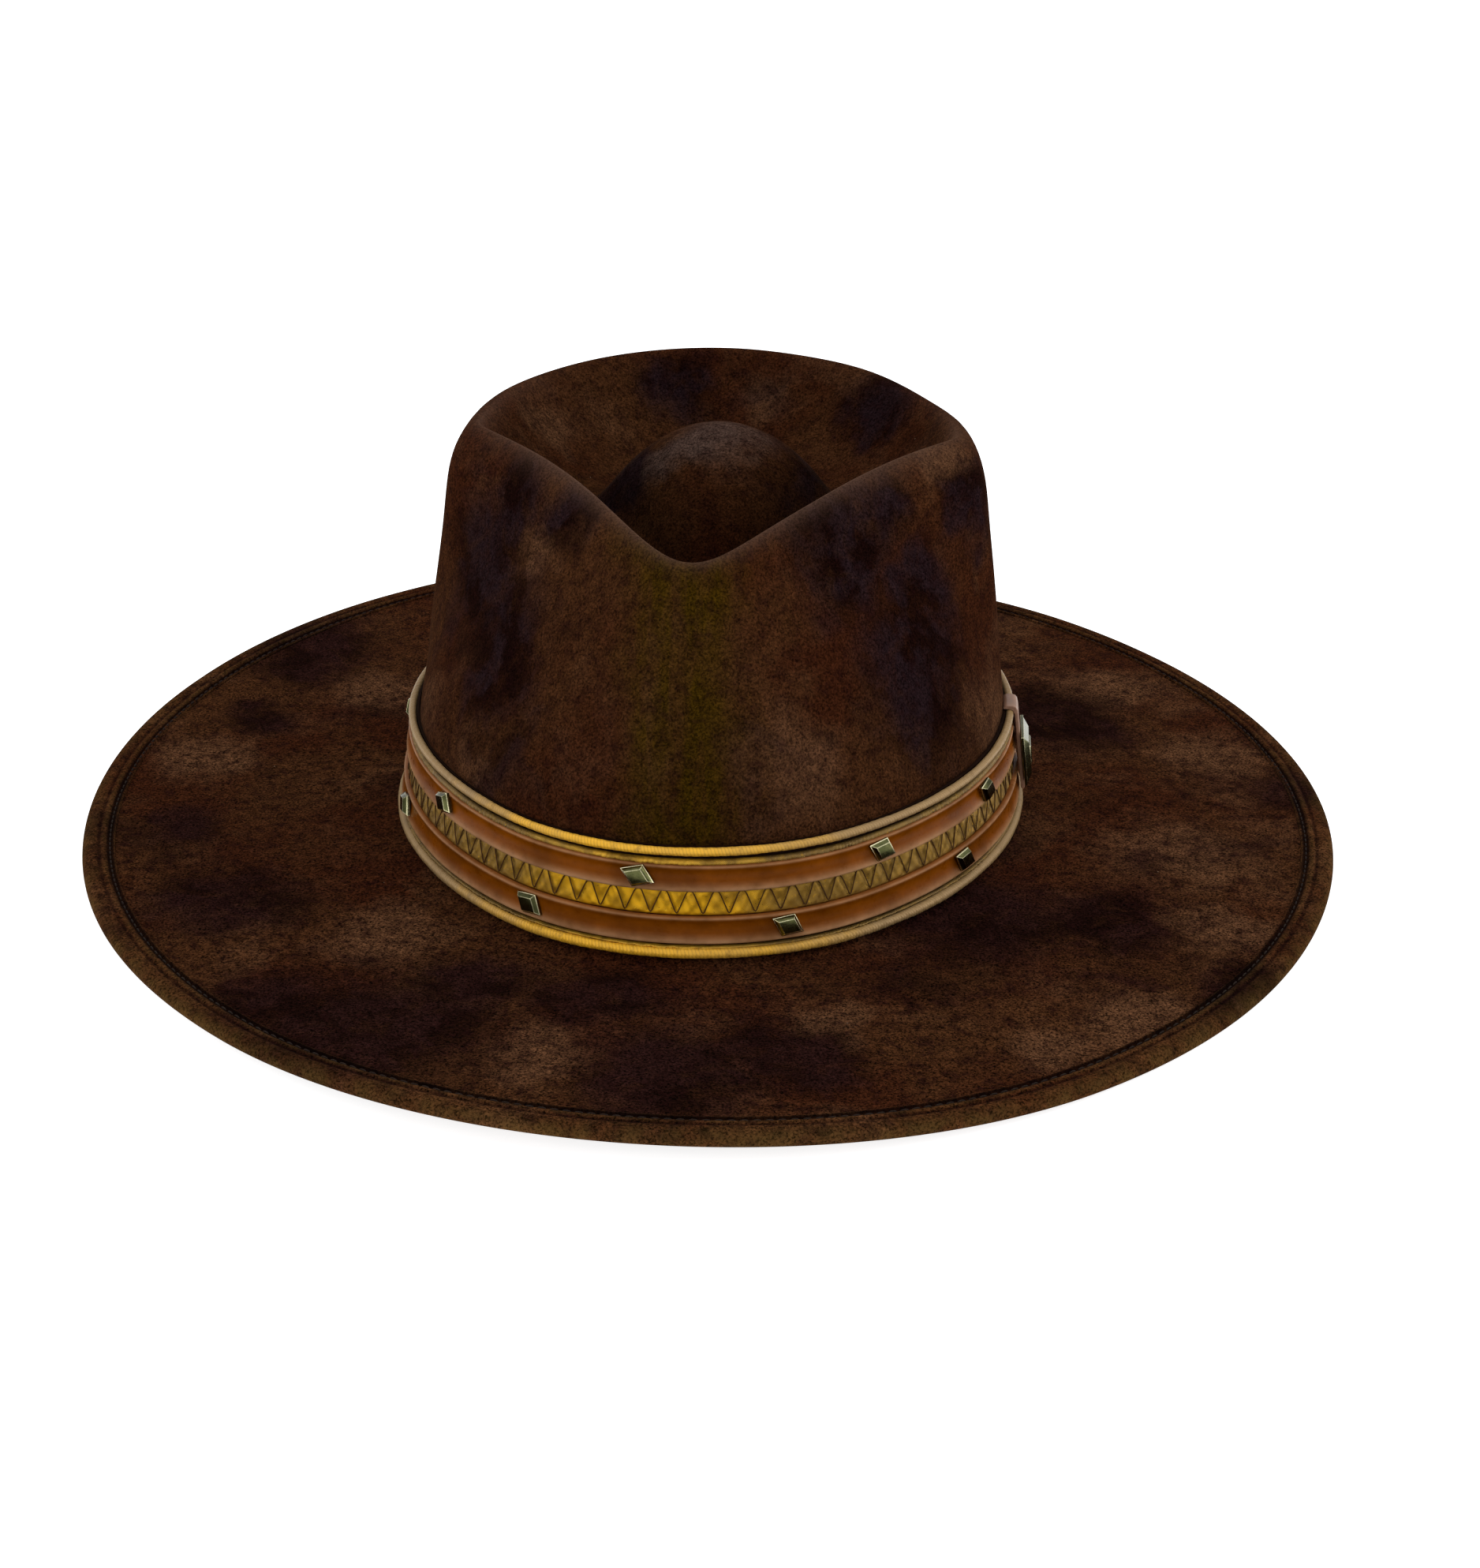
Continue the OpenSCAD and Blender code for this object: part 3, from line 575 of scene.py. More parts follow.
def felt(name, dark, pale, plum=PLUM_DYE_AND_SHADE, dome_top_highlight=(), nap=1, stripe=False, crest=False, edge=False,
         seed=0):
    """Brushed felt dyed in clouds, with dark and pale patches, fine nap and lint."""
    p = Paint(name)
    at = bent = p.at
    for size, detail, rough, reach in ((26, 2, 0.5, 30), (7, 4, 0.6, 11)):
        push = p.vector("SUBTRACT", p.cloud(at, size, detail, rough, output="Color"), (0.5, 0.5, 0.5))
        bent = p.vector("ADD", bent, p.vector("SCALE", push, scale=reach))

    def spot(place, wide, tight, strength=1):
        x, y, z, radius = map(float, place)
        gap = p.vector("DISTANCE", bent, (x, y, z))
        return p.fade(gap, radius * wide, radius * tight, 0, strength)

    tone = p.cloud(bent, 50, 2, 0.5, offset=(seed, -seed, 2 * seed))
    p.colour = p.mix(p.fade(tone, 0.38, 0.6), RED_BROWN, BROWN)
    mask = p.fade(p.cloud(bent, 33, 4, 0.6, offset=(seed + 31, 7, seed)), 0.5, 0.7, 0, 0.36)
    # pale patches: dyed clouds, and at some listed spots on the right side painted light
    for place in pale:
        mask = p.maths("MAXIMUM", mask, spot(place, 1.3, 0.4, 0.8))
    p.over(mask, PALE_BROWN)

    # dark dyed clouds; at some listed spots they stand for painted shade
    mask = p.fade(p.cloud(bent, 40, offset=(seed - 13, 5, 9)), 0.53, 0.72, 0, 0.7)
    for place in dark:
        mask = p.maths("MAXIMUM", mask, spot(place, 1.65, 0.55))
    patchy = p.cloud(at, 9, 4, 0.65, distortion=1)
    mask = p.product(mask, p.fade(patchy, 0.3, 0.55, 0.72))
    dye_and_shade = p.mix(p.fade(p.cloud(bent, 15), 0.4, 0.6), DARK_DYE_AND_SHADE, plum)
    p.over(mask, dye_and_shade)
    # painted highlight, greyish, on the dome's top
    for place in dome_top_highlight:
        p.over(spot(place, 1.4, 0.4, 0.55), DOME_TOP_GREY_HIGHLIGHT)

    if stripe:
        across, ahead, _ = p.split(bent)
        amount = p.product(p.fade(p.maths("ABSOLUTE", across), 24, 3, 0, 0.9),
                           p.fade(ahead, -40, -78))
        stretched = p.vector("MULTIPLY", at, (1, 0.3, 0.12))
        streaks = p.fade(p.cloud(stretched, 5), 0.35, 0.6, 0.45)
        p.over(p.product(amount, streaks), OLIVE)

    mottle = p.cloud(at, 3.6, 5, 0.7)
    p.over(p.fade(mottle, 0.32, 0.52, min(0.4 * nap, 0.8), 0), WINE_FLECK)
    p.times(p.ramp(mottle, 1 - 0.3 * nap, 1 + 0.42 * nap))
    grain = p.cloud(at, 0.62, 2, 0.6, distortion=0.6)
    p.times(p.ramp(grain, max(0.08, 1 - 0.6 * nap), 1 + 0.8 * nap, 0.34, 0.68))

    if crest:
        # a paler crest line: wear and painted highlight
        worn_and_lit = p.product(p.attribute("crest"), p.fade(grain, 0.35, 0.6, 0.6))
        p.over(p.product(worn_and_lit, CREST_WEAR_AND_HIGHLIGHT), WORN_EDGE_AND_HIGHLIGHT)
        # painted shade in the crown's crease, on its inner slopes and round the dome's foot
        p.times(p.maths("MULTIPLY_ADD", p.attribute("hollow"), -HOLLOW_SHADE, 1))
    if edge:
        # the welt's lips and outer roll paler: wear and painted highlight
        rub_and_highlight = p.product(p.attribute("rub_and_highlight"), p.fade(p.cloud(at, 7), 0.35, 0.65, 0.3))
        rub_and_highlight = p.product(rub_and_highlight, p.fade(grain, 0.32, 0.62, 0.35))
        p.over(p.product(rub_and_highlight, RIM_WEAR_AND_HIGHLIGHT), WELT_GOLD)
        # painted shade in the welt's stitch groove
        p.over(p.product(p.attribute("groove"), GROOVE_SHADE), GROOVE_SHADE_COLOUR)

    specks = p.node("TexVoronoi", {"Vector": at, "Scale": 1 / 9, "Randomness": 1})
    chosen = p.node("SeparateColor", {0: specks.outputs["Color"]}).outputs[0]
    lint = p.product(p.maths("GREATER_THAN", chosen, 0.8),
                     p.fade(specks.outputs["Distance"], 0.026, 0.01))
    p.over(p.product(lint, 0.5), LINT)
    p.bump(mottle, 0.22, 0.55)
    p.bump(grain, 0.2, 0.9)
    return p.finish(p.ramp(mottle, 1, 0.86), 0, sheen_weight=0.025, sheen_roughness=0.35,
                    sheen_tint=(1, 0.6, 0.4))


def leather(name, base, edge_colour=None, rough=0.34, coat=0, specular=0.3, seed=0):
    """Polished leather with pores and wrinkles and, given an edge colour, paler edges: rubbed, and a
    painted highlight where the rolled edges face the light.
    """
    p = Paint(name)
    tone = p.cloud(p.at, 11, 4, 0.6, offset=(seed, seed, -seed))
    p.shades(tone, base, 0.74, 1.22)
    if edge_colour is not None:
        # paler edges: rubbed, and a painted highlight where a rolled edge faces the light
        p.over(p.product(p.attribute("rub_and_highlight"), p.fade(tone, 0.25, 0.65, 0.45, 0.95)), edge_colour)
    streak = p.cloud(p.vector("MULTIPLY", p.at, (1, 1, 2)), 3.2)
    p.times(p.ramp(streak, 0.9, 1.1))
    pores = p.node("TexVoronoi", {"Vector": p.at, "Scale": 1 / PORE_SIZE}).outputs["Distance"]
    p.bump(pores, 0.04, 0.5)
    p.bump(p.cloud(p.at, 3), 0.1, 0.4)
    return p.finish(p.ramp(streak, rough - 0.05, rough + 0.1), specular, coat_weight=coat)


# the band's front, where its gold is painted brightest; away from it the gold is painted darker as shade
BRIGHT_FRONT = (-9, -104, 18)


def to_sides(p, near, far):
    """0 at the front of the band, 1 well away from it, with an uneven change between; it masks the painted
    shade on the band's sides.
    """
    gap = p.vector("DISTANCE", p.at, BRIGHT_FRONT)
    jagged = p.maths("MULTIPLY_ADD", p.cloud(p.at, 8), 36, -18)
    return p.fade(p.maths("ADD", gap, jagged), near, far)


def gold_fabric(name, bright, dull, side_shade, pitch, metallic=0.75, rough=0.34):
    """Woven foil threads that catch light unevenly in painted glints, with painted shade in the weave's
    hollows and on the band's sides, away from its lit front.
    """
    p = Paint(name)
    warp, weft = (p.maths("SINE", p.product(way, 2 * pi / pitch)) for way in p.along())
    weave = p.maths("MULTIPLY_ADD", p.product(warp, weft), 0.5, 0.5)
    glint = p.cloud(p.at, 0.8, 2, 0.7)
    p.colour = p.mix(p.fade(p.cloud(p.at, 5, 3, 0.6), 0.35, 0.68), bright, dull)
    # painted shade: darker on the band's sides, away from its lit front
    p.over(p.product(to_sides(p, 12, 42), 0.85), side_shade)
    # painted shade in the hollows of the weave
    p.over(p.fade(weave, 0, 0.6, 0.55, 0), tinted(dull, 0.25))
    # painted glints
    p.over(p.fade(glint, 0.6, 0.72, 0, 0.35), bright)
    p.bump(weave, 0.09, 0.7)
    p.bump(glint, 0.1, 0.6)
    return p.finish(p.ramp(glint, rough - 0.1, rough + 0.2), metallic=metallic)


def piping_cord(name):
    """Satin cord with fine slanted plies, painted gold in front and a darker tan on the band's sides as
    shade, with painted shade between the plies.
    """
    p = Paint(name)
    u, v = p.along()
    twist = p.maths("SINE", p.maths("MULTIPLY_ADD", u, 2 * pi / 0.9, p.product(v, 1.8)))
    tone = p.cloud(p.at, 14)
    p.colour = p.mix(p.fade(tone, 0.3, 0.7), (0.88, 0.46, 0.025), (0.7, 0.38, 0.045))
    # painted shade: a darker tan on the band's sides
    p.over(p.product(to_sides(p, 18, 66), 0.9), (0.25, 0.165, 0.085))
    p.over(p.fade(p.cloud(p.at, 2.5, 4, 0.65), 0.5, 0.75, 0, 0.5), (0.16, 0.085, 0.02))
    # painted shade in the grooves between the plies
    p.over(p.fade(twist, -1, -0.2, 0.25, 0), (0.14, 0.08, 0.02))
    p.bump(twist, 0.05, 0.55)
    return p.finish(p.ramp(tone, 0.38, 0.52), 0.3, metallic=0.25, sheen_weight=0.03,
                    sheen_roughness=0.3, sheen_tint=(1, 0.85, 0.6))


def thread(name, base):
    """Sewing thread, slightly fuzzy and unevenly worn."""
    p = Paint(name)
    fuzz = p.cloud(p.at, 0.18, 2)
    p.shades(fuzz, base, 0.6, 1.4)
    p.over(p.fade(p.cloud(p.at, 8, 2), 0.4, 0.7, 0, 0.4), tinted(base, 1.8))
    p.bump(fuzz, 0.04, 0.7)
    return p.finish(0.7, specular=0.12)


def antique_brass(name):
    """Darkened brass with a green patina, rubbed pale on its edges."""
    p = Paint(name)
    blotch = p.cloud(p.at, 2.4, 4, 0.65)
    p.colour = p.mix(p.fade(blotch, 0.35, 0.7), (0.105, 0.105, 0.04), (0.055, 0.06, 0.022))
    corner = p.node("Bevel", {"Radius": 0.35 * MM}, samples=6).outputs[0]
    turned = p.vector("DOT_PRODUCT", corner, p.node("NewGeometry").outputs["Normal"])
    p.over(p.fade(turned, 0.99, 0.93, 0, 0.9), (0.8, 0.74, 0.47))
    scratch = p.cloud(p.vector("MULTIPLY", p.at, (1, 1, 9)), 0.9)
    p.bump(scratch, 0.01, 0.4)
    return p.finish(p.ramp(scratch, 0.1, 0.24), metallic=1)


def satin(name, base, folds=True):
    """Dark lining satin with a fine rib."""
    p = Paint(name)
    tone = p.cloud(p.at, 12)
    p.shades(tone, base, 0.7, 1.3)
    p.bump(p.maths("SINE", p.product(p.split(p.at)[2], 14)), 0.02, 0.5)
    if folds:
        p.bump(p.cloud(p.at, 10, 2), 0.8, 0.5)
    return p.finish(p.ramp(tone, 0.3, 0.42), sheen_weight=0.25, sheen_roughness=0.3)


def steel(name):
    """Drawn steel wire."""
    p = Paint(name)
    drawn = p.cloud(p.at, 1.5)
    p.colour = p.mix(p.fade(drawn, 0.3, 0.7), (0.42, 0.42, 0.43), (0.6, 0.6, 0.6))
    p.bump(drawn, 0.02, 0.4)
    return p.finish(p.fade(drawn, 0.3, 0.7, 0.25, 0.4), metallic=1)


# ---- crown and lining
def shell_piece(name, grid, outer, inner, mat, masks=None):
    """Closed shell between two depths under a grid whose last row is one point."""
    normals = grid_normals(grid)
    rows, cols = grid.shape[0] - 1, grid.shape[1]
    size = rows * cols + 1
    points, faces = [], []
    for k, depth in enumerate((outer, inner)):
        points.append((grid[:rows] - normals[:rows] * depth).reshape(-1, 3))
        points.append(grid[-1, :1] - (0, 0, depth))
        faces += ring_faces(rows, cols, k * size, closed_rows=False)
        last, apex = k * size + (rows - 1) * cols, (k + 1) * size - 1
        faces += [[last + j, last + (j + 1) % cols, apex] for j in range(cols)]
    faces += [[j, (j + 1) % cols, size + (j + 1) % cols, size + j] for j in range(cols)]
    both = {key: np.concatenate([np.append(m[:rows].ravel(), 0)] * 2) for key, m in (masks or {}).items()}
    return build(name, np.vstack(points), faces, mat, masks=both)


def make_crown():
    grid, masks = crown_grid(300, (14, 18, 12, 20, 16), 3)
    grid = handmade(grid, grid_normals(grid), 1.1, 42, 3)
    mat = felt("crown_felt", CROWN_DARK, CROWN_PALE, dome_top_highlight=CROWN_DOME_TOP_HIGHLIGHT, stripe=True, crest=True, seed=4)
    piece = shell_piece("crown_felt_shell", grid, 0, FELT, mat, masks)
    settle(piece, "crown_felt", "crown")


# the first row of the crown that the lining covers, and its number of pleats
LINING_START, PLEATS = 5, 34


def make_lining():
    grid, _ = crown_grid(240, (12, 12, 6, 12, 10), 2)
    grid = grid[LINING_START:]
    turn = np.arange(grid.shape[1]) / grid.shape[1]
    fading = linspace(1, 0, grid.shape[0])[:, None] ** 1.5
    pleats = 0.22 * sin(2 * pi * PLEATS * turn)[None] * fading
    grid = grid - grid_normals(grid) * (0.4 + pleats)[..., None]
    mat = satin("lining_satin", (0.022, 0.015, 0.012))
    piece = shell_piece("satin_lining", grid, FELT + 0.2, FELT + 0.5, mat)
    settle(piece, "lining_satin", "crown_lining")


# ---- brim
def make_brim():
    reach = BRIM_WIDTH - EDGE_RADIUS - 1.25
    rise = [(0.3, 5.6), (0.55, 5), (1, 4.4), (1.8, 3.9), (3, 3.5), (4.6, 3.34)]
    top = [(r, BRIM_TOP) for r in linspace(6.5, reach, 34)]
    under = [(r, BRIM_LOW) for r in linspace(reach, 0.3, 30)]

    def uneven(place, r, z):
        turn = turn_at(place)
        bumps = noise_at(cos(turn) * (90 + r) / 38, sin(turn) * (110 + r) / 38, 2)
        hold = smooth((r - 4) / 14) * smooth((reach - r) / 10)
        return r, z + 0.55 * bumps * hold

    mat = felt("brim_felt_top", BRIM_DARK, BRIM_PALE, WINE_DYE_AND_SHADE, nap=1.5, seed=-7)
    piece = ring_piece("brim_felt", rise + top + under, 420, mat, False, uneven, sharp=radians(50))
    settle(piece, "brim_felt_top", "brim_upper", "brim_lower", "brim_core")


# the welt's upper face from its seam outward: distance from the seam, height, how rubbed and painted with a
# highlight, how much painted shade
WELT_RELIEF = ((-0.85, 0, 0.2, 0.8), (-0.7, -0.3, 0, 1), (-0.35, -0.62, 0, 1), (0.35, -0.62, 0, 1),
               (0.7, -0.3, 0, 1), (1, 0, 0.45, 0.35), (1.6, 0.24, 0.6, 0), (2.3, 0.2, 0.3, 0),
               (2.8, -0.12, 0, 0.6), (3.2, -0.14, 0, 0.6), (3.8, 0.12, 0.25, 0), (5.2, 0.16, 0.4, 0))
# how much paler the welt's outer roll is drawn round its arc: wear and painted highlight
RIM_RUB_AND_HIGHLIGHT = (0.5, 0.6, 0.7, 0.8, 0.9, 1, 1, 1, 1, 1, 0.9, 0.8, 0.6, 0.5, 0.5)


def make_welt():
    inner = BRIM_WIDTH - WELT_WIDTH
    centre = BRIM_WIDTH - EDGE_RADIUS
    groove = [(STITCH_REACH + out, up) for out, up, _, _ in WELT_RELIEF]
    top = [(inner, BRIM_TOP - 0.02), (inner + 0.05, EDGE_TOP - 0.3), (inner + 0.2, EDGE_TOP - 0.08)]
    top += [(r, EDGE_TOP + dz) for r, dz in groove]
    outer = arc(centre, EDGE_RADIUS, EDGE_RADIUS, 84, -84, 15)
    under = [(r, max(0, -0.5 * dz)) for r, dz in reversed(groove)]
    under += [(inner + 0.2, 0.1), (inner + 0.05, 0.3), (inner, BRIM_LOW + 0.02)]
    inside = [(centre - 1.2, BRIM_LOW + 0.02), (centre - 0.2, 1.2), (centre + 0.9, EDGE_RADIUS),
              (centre - 0.2, 2.8), (centre - 1.2, BRIM_TOP - 0.02)]
    section = top + outer + under + inside
    rest = [0] * (len(under) + len(inside))
    # paler points: wear and painted highlight; dark points: painted shade in the stitch grooves
    rub_and_highlight = [0.2, 0.4, 0.4, *(row[2] for row in WELT_RELIEF), *RIM_RUB_AND_HIGHLIGHT] + rest
    dark = [0, 0, 0.2, *(row[3] for row in WELT_RELIEF)] + [0] * len(outer) + rest

    def puckers(place, r, z):
        pull = exp(-((r - STITCH_REACH - 1) / 1.3) ** 2) * 0.06 * sin(2 * pi * place / 1.42)
        slow = 0.16 * sin(place / 9 + 1.3 * sin(place / 23))
        lift = np.where(z > BRIM_TOP + 0.3, pull + slow * smooth((r - STITCH_REACH) / 3), 0)
        return r + 0.12 * sin(place / 13 + 2) * (r > centre), z + lift

    mat = felt("welt_felt", BRIM_DARK, (), WINE_DYE_AND_SHADE, nap=1.9, edge=True, seed=-7)
    piece = ring_piece("edge_welt_felt", section, 1260, mat, False, puckers,
                       masks={"rub_and_highlight": rub_and_highlight, "groove": dark})
    settle(piece, "welt_felt", "edge_welt")

    wire = ring_piece("brim_edge_wire", arc(centre, EDGE_RADIUS, 0.8, 0, 330, 12), 360,
                      steel("edge_wire_steel"), False)
    settle(wire, "edge_wire", "edge_wire")

    parts = []
    count = round((PERIMETER + 2 * pi * STITCH_REACH) / WELT_STITCH)
    turns = even_turns(2 * count, STITCH_REACH)
    for first, z, sink in ((0, EDGE_TOP - 0.5, -0.16), (1, 0.36, 0.1)):
        for turn in turns[first::2]:
            parts.append(stitch(turn, STITCH_REACH, z + float(brim_wave(turn, STITCH_REACH)),
                                0.36 * WELT_STITCH, (0, 1.6 * sink), WELT_SHARES, WELT_THREAD))
    seam = join_parts("welt_stitch_rows", parts, thread("dark_thread", (0.014, 0.0075, 0.005)))
    settle(seam, "dark_thread", "welt_stitching")


# stitches: spacing or count, where a stitch's points lie along it, and its radius at each
WELT_STITCH, SEAM_STITCHES, SEAM_Z, STITCH_SIDES = 2.9, 190, 4.35, 6
WELT_SHARES, WELT_THREAD = (-1, -0.75, -0.3, 0.3, 0.75, 1), (0.12, 0.24, 0.27, 0.27, 0.24, 0.12)
SEAM_SHARES, SEAM_THREAD = (-1, -0.8, -0.3, 0.3, 0.8, 1), (0.12, 0.22, 0.25, 0.25, 0.22, 0.12)


def stitch(turn, reach, z, half, dip, shares, thickness):
    """One short stitch along the oval: a thread that dips in at both ends, by dip (outward, up)."""
    x, y = oval(turn, reach)
    c, s = cos(turn), sin(turn)
    path = []
    for u in shares:
        out, up = (d * abs(u) ** 3 for d in dip)
        path.append((float(x) + c * out - s * half * u, float(y) + s * out + c * half * u, z + up))
    return tube(path, thickness, STITCH_SIDES)


# ---- sweatband
def make_sweatband():
    back, front = -SWEAT_BACK, -SWEAT_FRONT
    top = SWEAT_TOP
    section = [(back, SWEAT_BASE), (back, 12), (back, 24), (back, top - 0.5), (back - 0.3, top - 0.08),
               (back - 0.55, top), (front + 0.3, top - 0.08), (front, top - 0.5), (front, 30),
               (front - 0.1, 22), (front - 0.12, 14), (front, 7), (front + 0.1, 5.2), (front + 0.25, 4.4),
               (front + 0.1, 3.6), (front + 0.05, 2.6), (front + 0.2, SWEAT_BASE)]

    def wavy(place, r, z):
        free = smooth((z - 8) / 28)
        return r - 0.35 * free * (1 + sin(place / 21 + 0.7 * sin(place / 8))) / 2, z

    mat = leather("sweatband_leather", (0.16, 0.075, 0.032), rough=0.42, coat=0.1, seed=3)
    piece = ring_piece("sweatband_leather_strip", section, 360, mat, change=wavy)
    settle(piece, "sweatband_leather", "sweatband")

    reed = ring_piece("sweatband_reed_tape", arc(-FELT - 0.85, 1.3, 0.8, 0, 330, 12), 300,
                      thread("reed_tape", (0.03, 0.022, 0.016)))
    settle(reed, "reed_tape", "sweatband_reed")

    reach = float(wall_in(SEAM_Z)) + front - 0.02
    parts = [stitch(turn, reach, SEAM_Z, 1, (0.25, 0), SEAM_SHARES, SEAM_THREAD)
             for turn in even_turns(SEAM_STITCHES, reach)]
    seam = join_parts("sweatband_stitch_row", parts, thread("pale_thread", (0.33, 0.24, 0.15)))
    settle(seam, "pale_thread", "sweatband_stitching")

    make_bow()


def ribbon(path, across, widths, thickness):
    """A flat ribbon along a path: closed and thin, its width along across."""
    path = [Vector(p) for p in path]
    across = Vector(across).normalized()
    points = []
    for i, (p, half) in enumerate(zip(path, widths)):
        out = (path[min(i + 1, len(path) - 1)] - path[max(i - 1, 0)]).cross(across).normalized()
        points += [tuple(p + across * half * a + out * thickness * b)
                   for a, b in ((-1, -1), (1, -1), (1, 1), (-1, 1))]
    faces = ring_faces(len(path), 4, closed_rows=False)
    return points, faces + [[0, 1, 2, 3], [len(points) - 4 + k for k in range(4)]]


def make_bow():
    base = on_band(PERIMETER / 2, 14, -SWEAT_FRONT - 0.9)
    parts = []
    for side in (-1, 1):
        turns = [2 * pi * k / 14 for k in range(15)]
        loop = [(-0.75 + 0.62 * sin(a), side * (2.6 - 2.3 * cos(a)), 0.35 * sin(a / 2))
                for a in turns]
        parts.append(placed(ribbon(loop, (0, 0, 1), [1 + 0.7 * sin(a / 2) for a in turns], 0.12), base))
        tail = [(-0.5, side * 0.4, -0.6), (-0.7, side * 1.4, -2.2), (-0.55, side * 2, -4.2),
                (-0.4, side * 2.2, -6)]
        parts.append(placed(ribbon(tail, (0, 1, 0.2 * side), [0.7, 1, 1.15, 1.3], 0.12), base))
    parts.append(placed(bevelled_box(frustum(-1.7, 0.1, 1, 1.15, 1, 1.15), 0.4, 3), base))
    mat = satin("bow_satin", (0.03, 0.02, 0.016), folds=False)
    bow = join_parts("sweatband_satin_bow", parts, mat, sharp=radians(40))
    settle(bow, "bow_satin", "sweatband_bow")


# ---- band
# a strap's face from its lower edge up: share of its height, depth below the face, how much it is rubbed
# and painted with a highlight
STRAP_RELIEF = ((0, 1.2, 0.1), (0.012, 0.55, 0.4), (0.04, 0.18, 0.8), (0.09, 0, 0.9), (0.15, 0.02, 0.62),
                (0.22, 0.12, 0.34), (0.31, 0.27, 0.12), (0.42, 0.43, 0), (0.55, 0.54, 0), (0.68, 0.56, 0),
                (0.77, 0.46, 0), (0.84, 0.24, 0), (0.9, 0.04, 0.2), (0.945, 0, 0.5), (0.975, 0.2, 0.4),
                (0.992, 0.55, 0.2), (1, 1.2, 0.1))


def strap_section(z, height):
    """Section of a strap with rolled edges and a hollowed face, and how much each point is rubbed and
    painted with a highlight.
    """
    back = BACKING_FACE + 0.05
    face = [(STRAP_FACE - depth, z + height * share) for share, depth, _ in STRAP_RELIEF]
    rubbed_and_lit = [0, *(row[2] for row in STRAP_RELIEF), 0]
    return [(back, z + 0.1), *face, (back, z + height - 0.1)], rubbed_and_lit


def make_straps():
    for side, z, height, places, seed in (
            ("lower", LOWER_STRAP_Z, LOWER_STRAP_HEIGHT, LOWER_STUDS, 5),
            ("upper", UPPER_STRAP_Z, UPPER_STRAP_HEIGHT, UPPER_STUDS, 11)):
        name = side + "_strap_leather"
        # the pale edge colour: rubbed leather and a painted highlight on the rims
        mat = leather(name, (0.158, 0.039, 0.0004), (0.46, 0.26, 0.13), rough=0.3, specular=0.07, seed=seed)
        section, rubbed_and_lit = strap_section(z, height)

        def pressed(place, r, zz):
            up = zz - z - height / 2
            dent = sum(exp(-((place - p) ** 2 + up ** 2) / STUD_DENT ** 2) for p in places)
            slow = 0.06 * sin(place / 17 + seed) + 0.03 * sin(place / 5.3 + 2 * seed)
            outer = smooth((r - 1.4) / 0.8)
            return r + outer * (slow - 0.16 * dent), zz + 0.1 * sin(place / 26 + seed)

        strap = ring_piece(name, section, 900, mat, change=pressed, masks={"rub_and_highlight": rubbed_and_lit})
        settle(strap, "strap_leather", side + "_strap")


ZIG_COUNT = 90
ZIG_PERIOD = PERIMETER / ZIG_COUNT
ZIG_RISE = 0.38  # share of the period in which the thread climbs; it falls in as much


def zigzag_v(u):
    """Height of the zigzag thread across the centre strip, 0 to 1, at a share of its period."""
    u = u % 1
    return np.where(u < ZIG_RISE, u / ZIG_RISE, np.where(u < 1 - ZIG_RISE, 1, (1 - u) / ZIG_RISE))


def centre_relief(place, across):
    """How far the gold strip puffs out between the threads, 0 to 1."""
    x, y = place % ZIG_PERIOD, across * CENTRE_HEIGHT
    near = np.full_like(place, 9)
    for x0, y0, x1, y1 in ((0, 0, ZIG_RISE, 1), (1 - ZIG_RISE, 1, 1, 0), (-ZIG_RISE, 1, 0, 0),
                           (1, 0, 1 + ZIG_RISE, 1)):
        px, py = x - x0 * ZIG_PERIOD, y - y0 * CENTRE_HEIGHT
        dx, dy = (x1 - x0) * ZIG_PERIOD, (y1 - y0) * CENTRE_HEIGHT
        t = clip((px * dx + py * dy) / (dx * dx + dy * dy), 0, 1)
        near = np.minimum(near, hypot(px - t * dx, py - t * dy))
    edges = smooth(np.minimum(across, 1 - across) * CENTRE_HEIGHT / 0.9)
    return (1 - exp(-(near / 0.75) ** 1.6)) * (0.35 + 0.65 * edges)


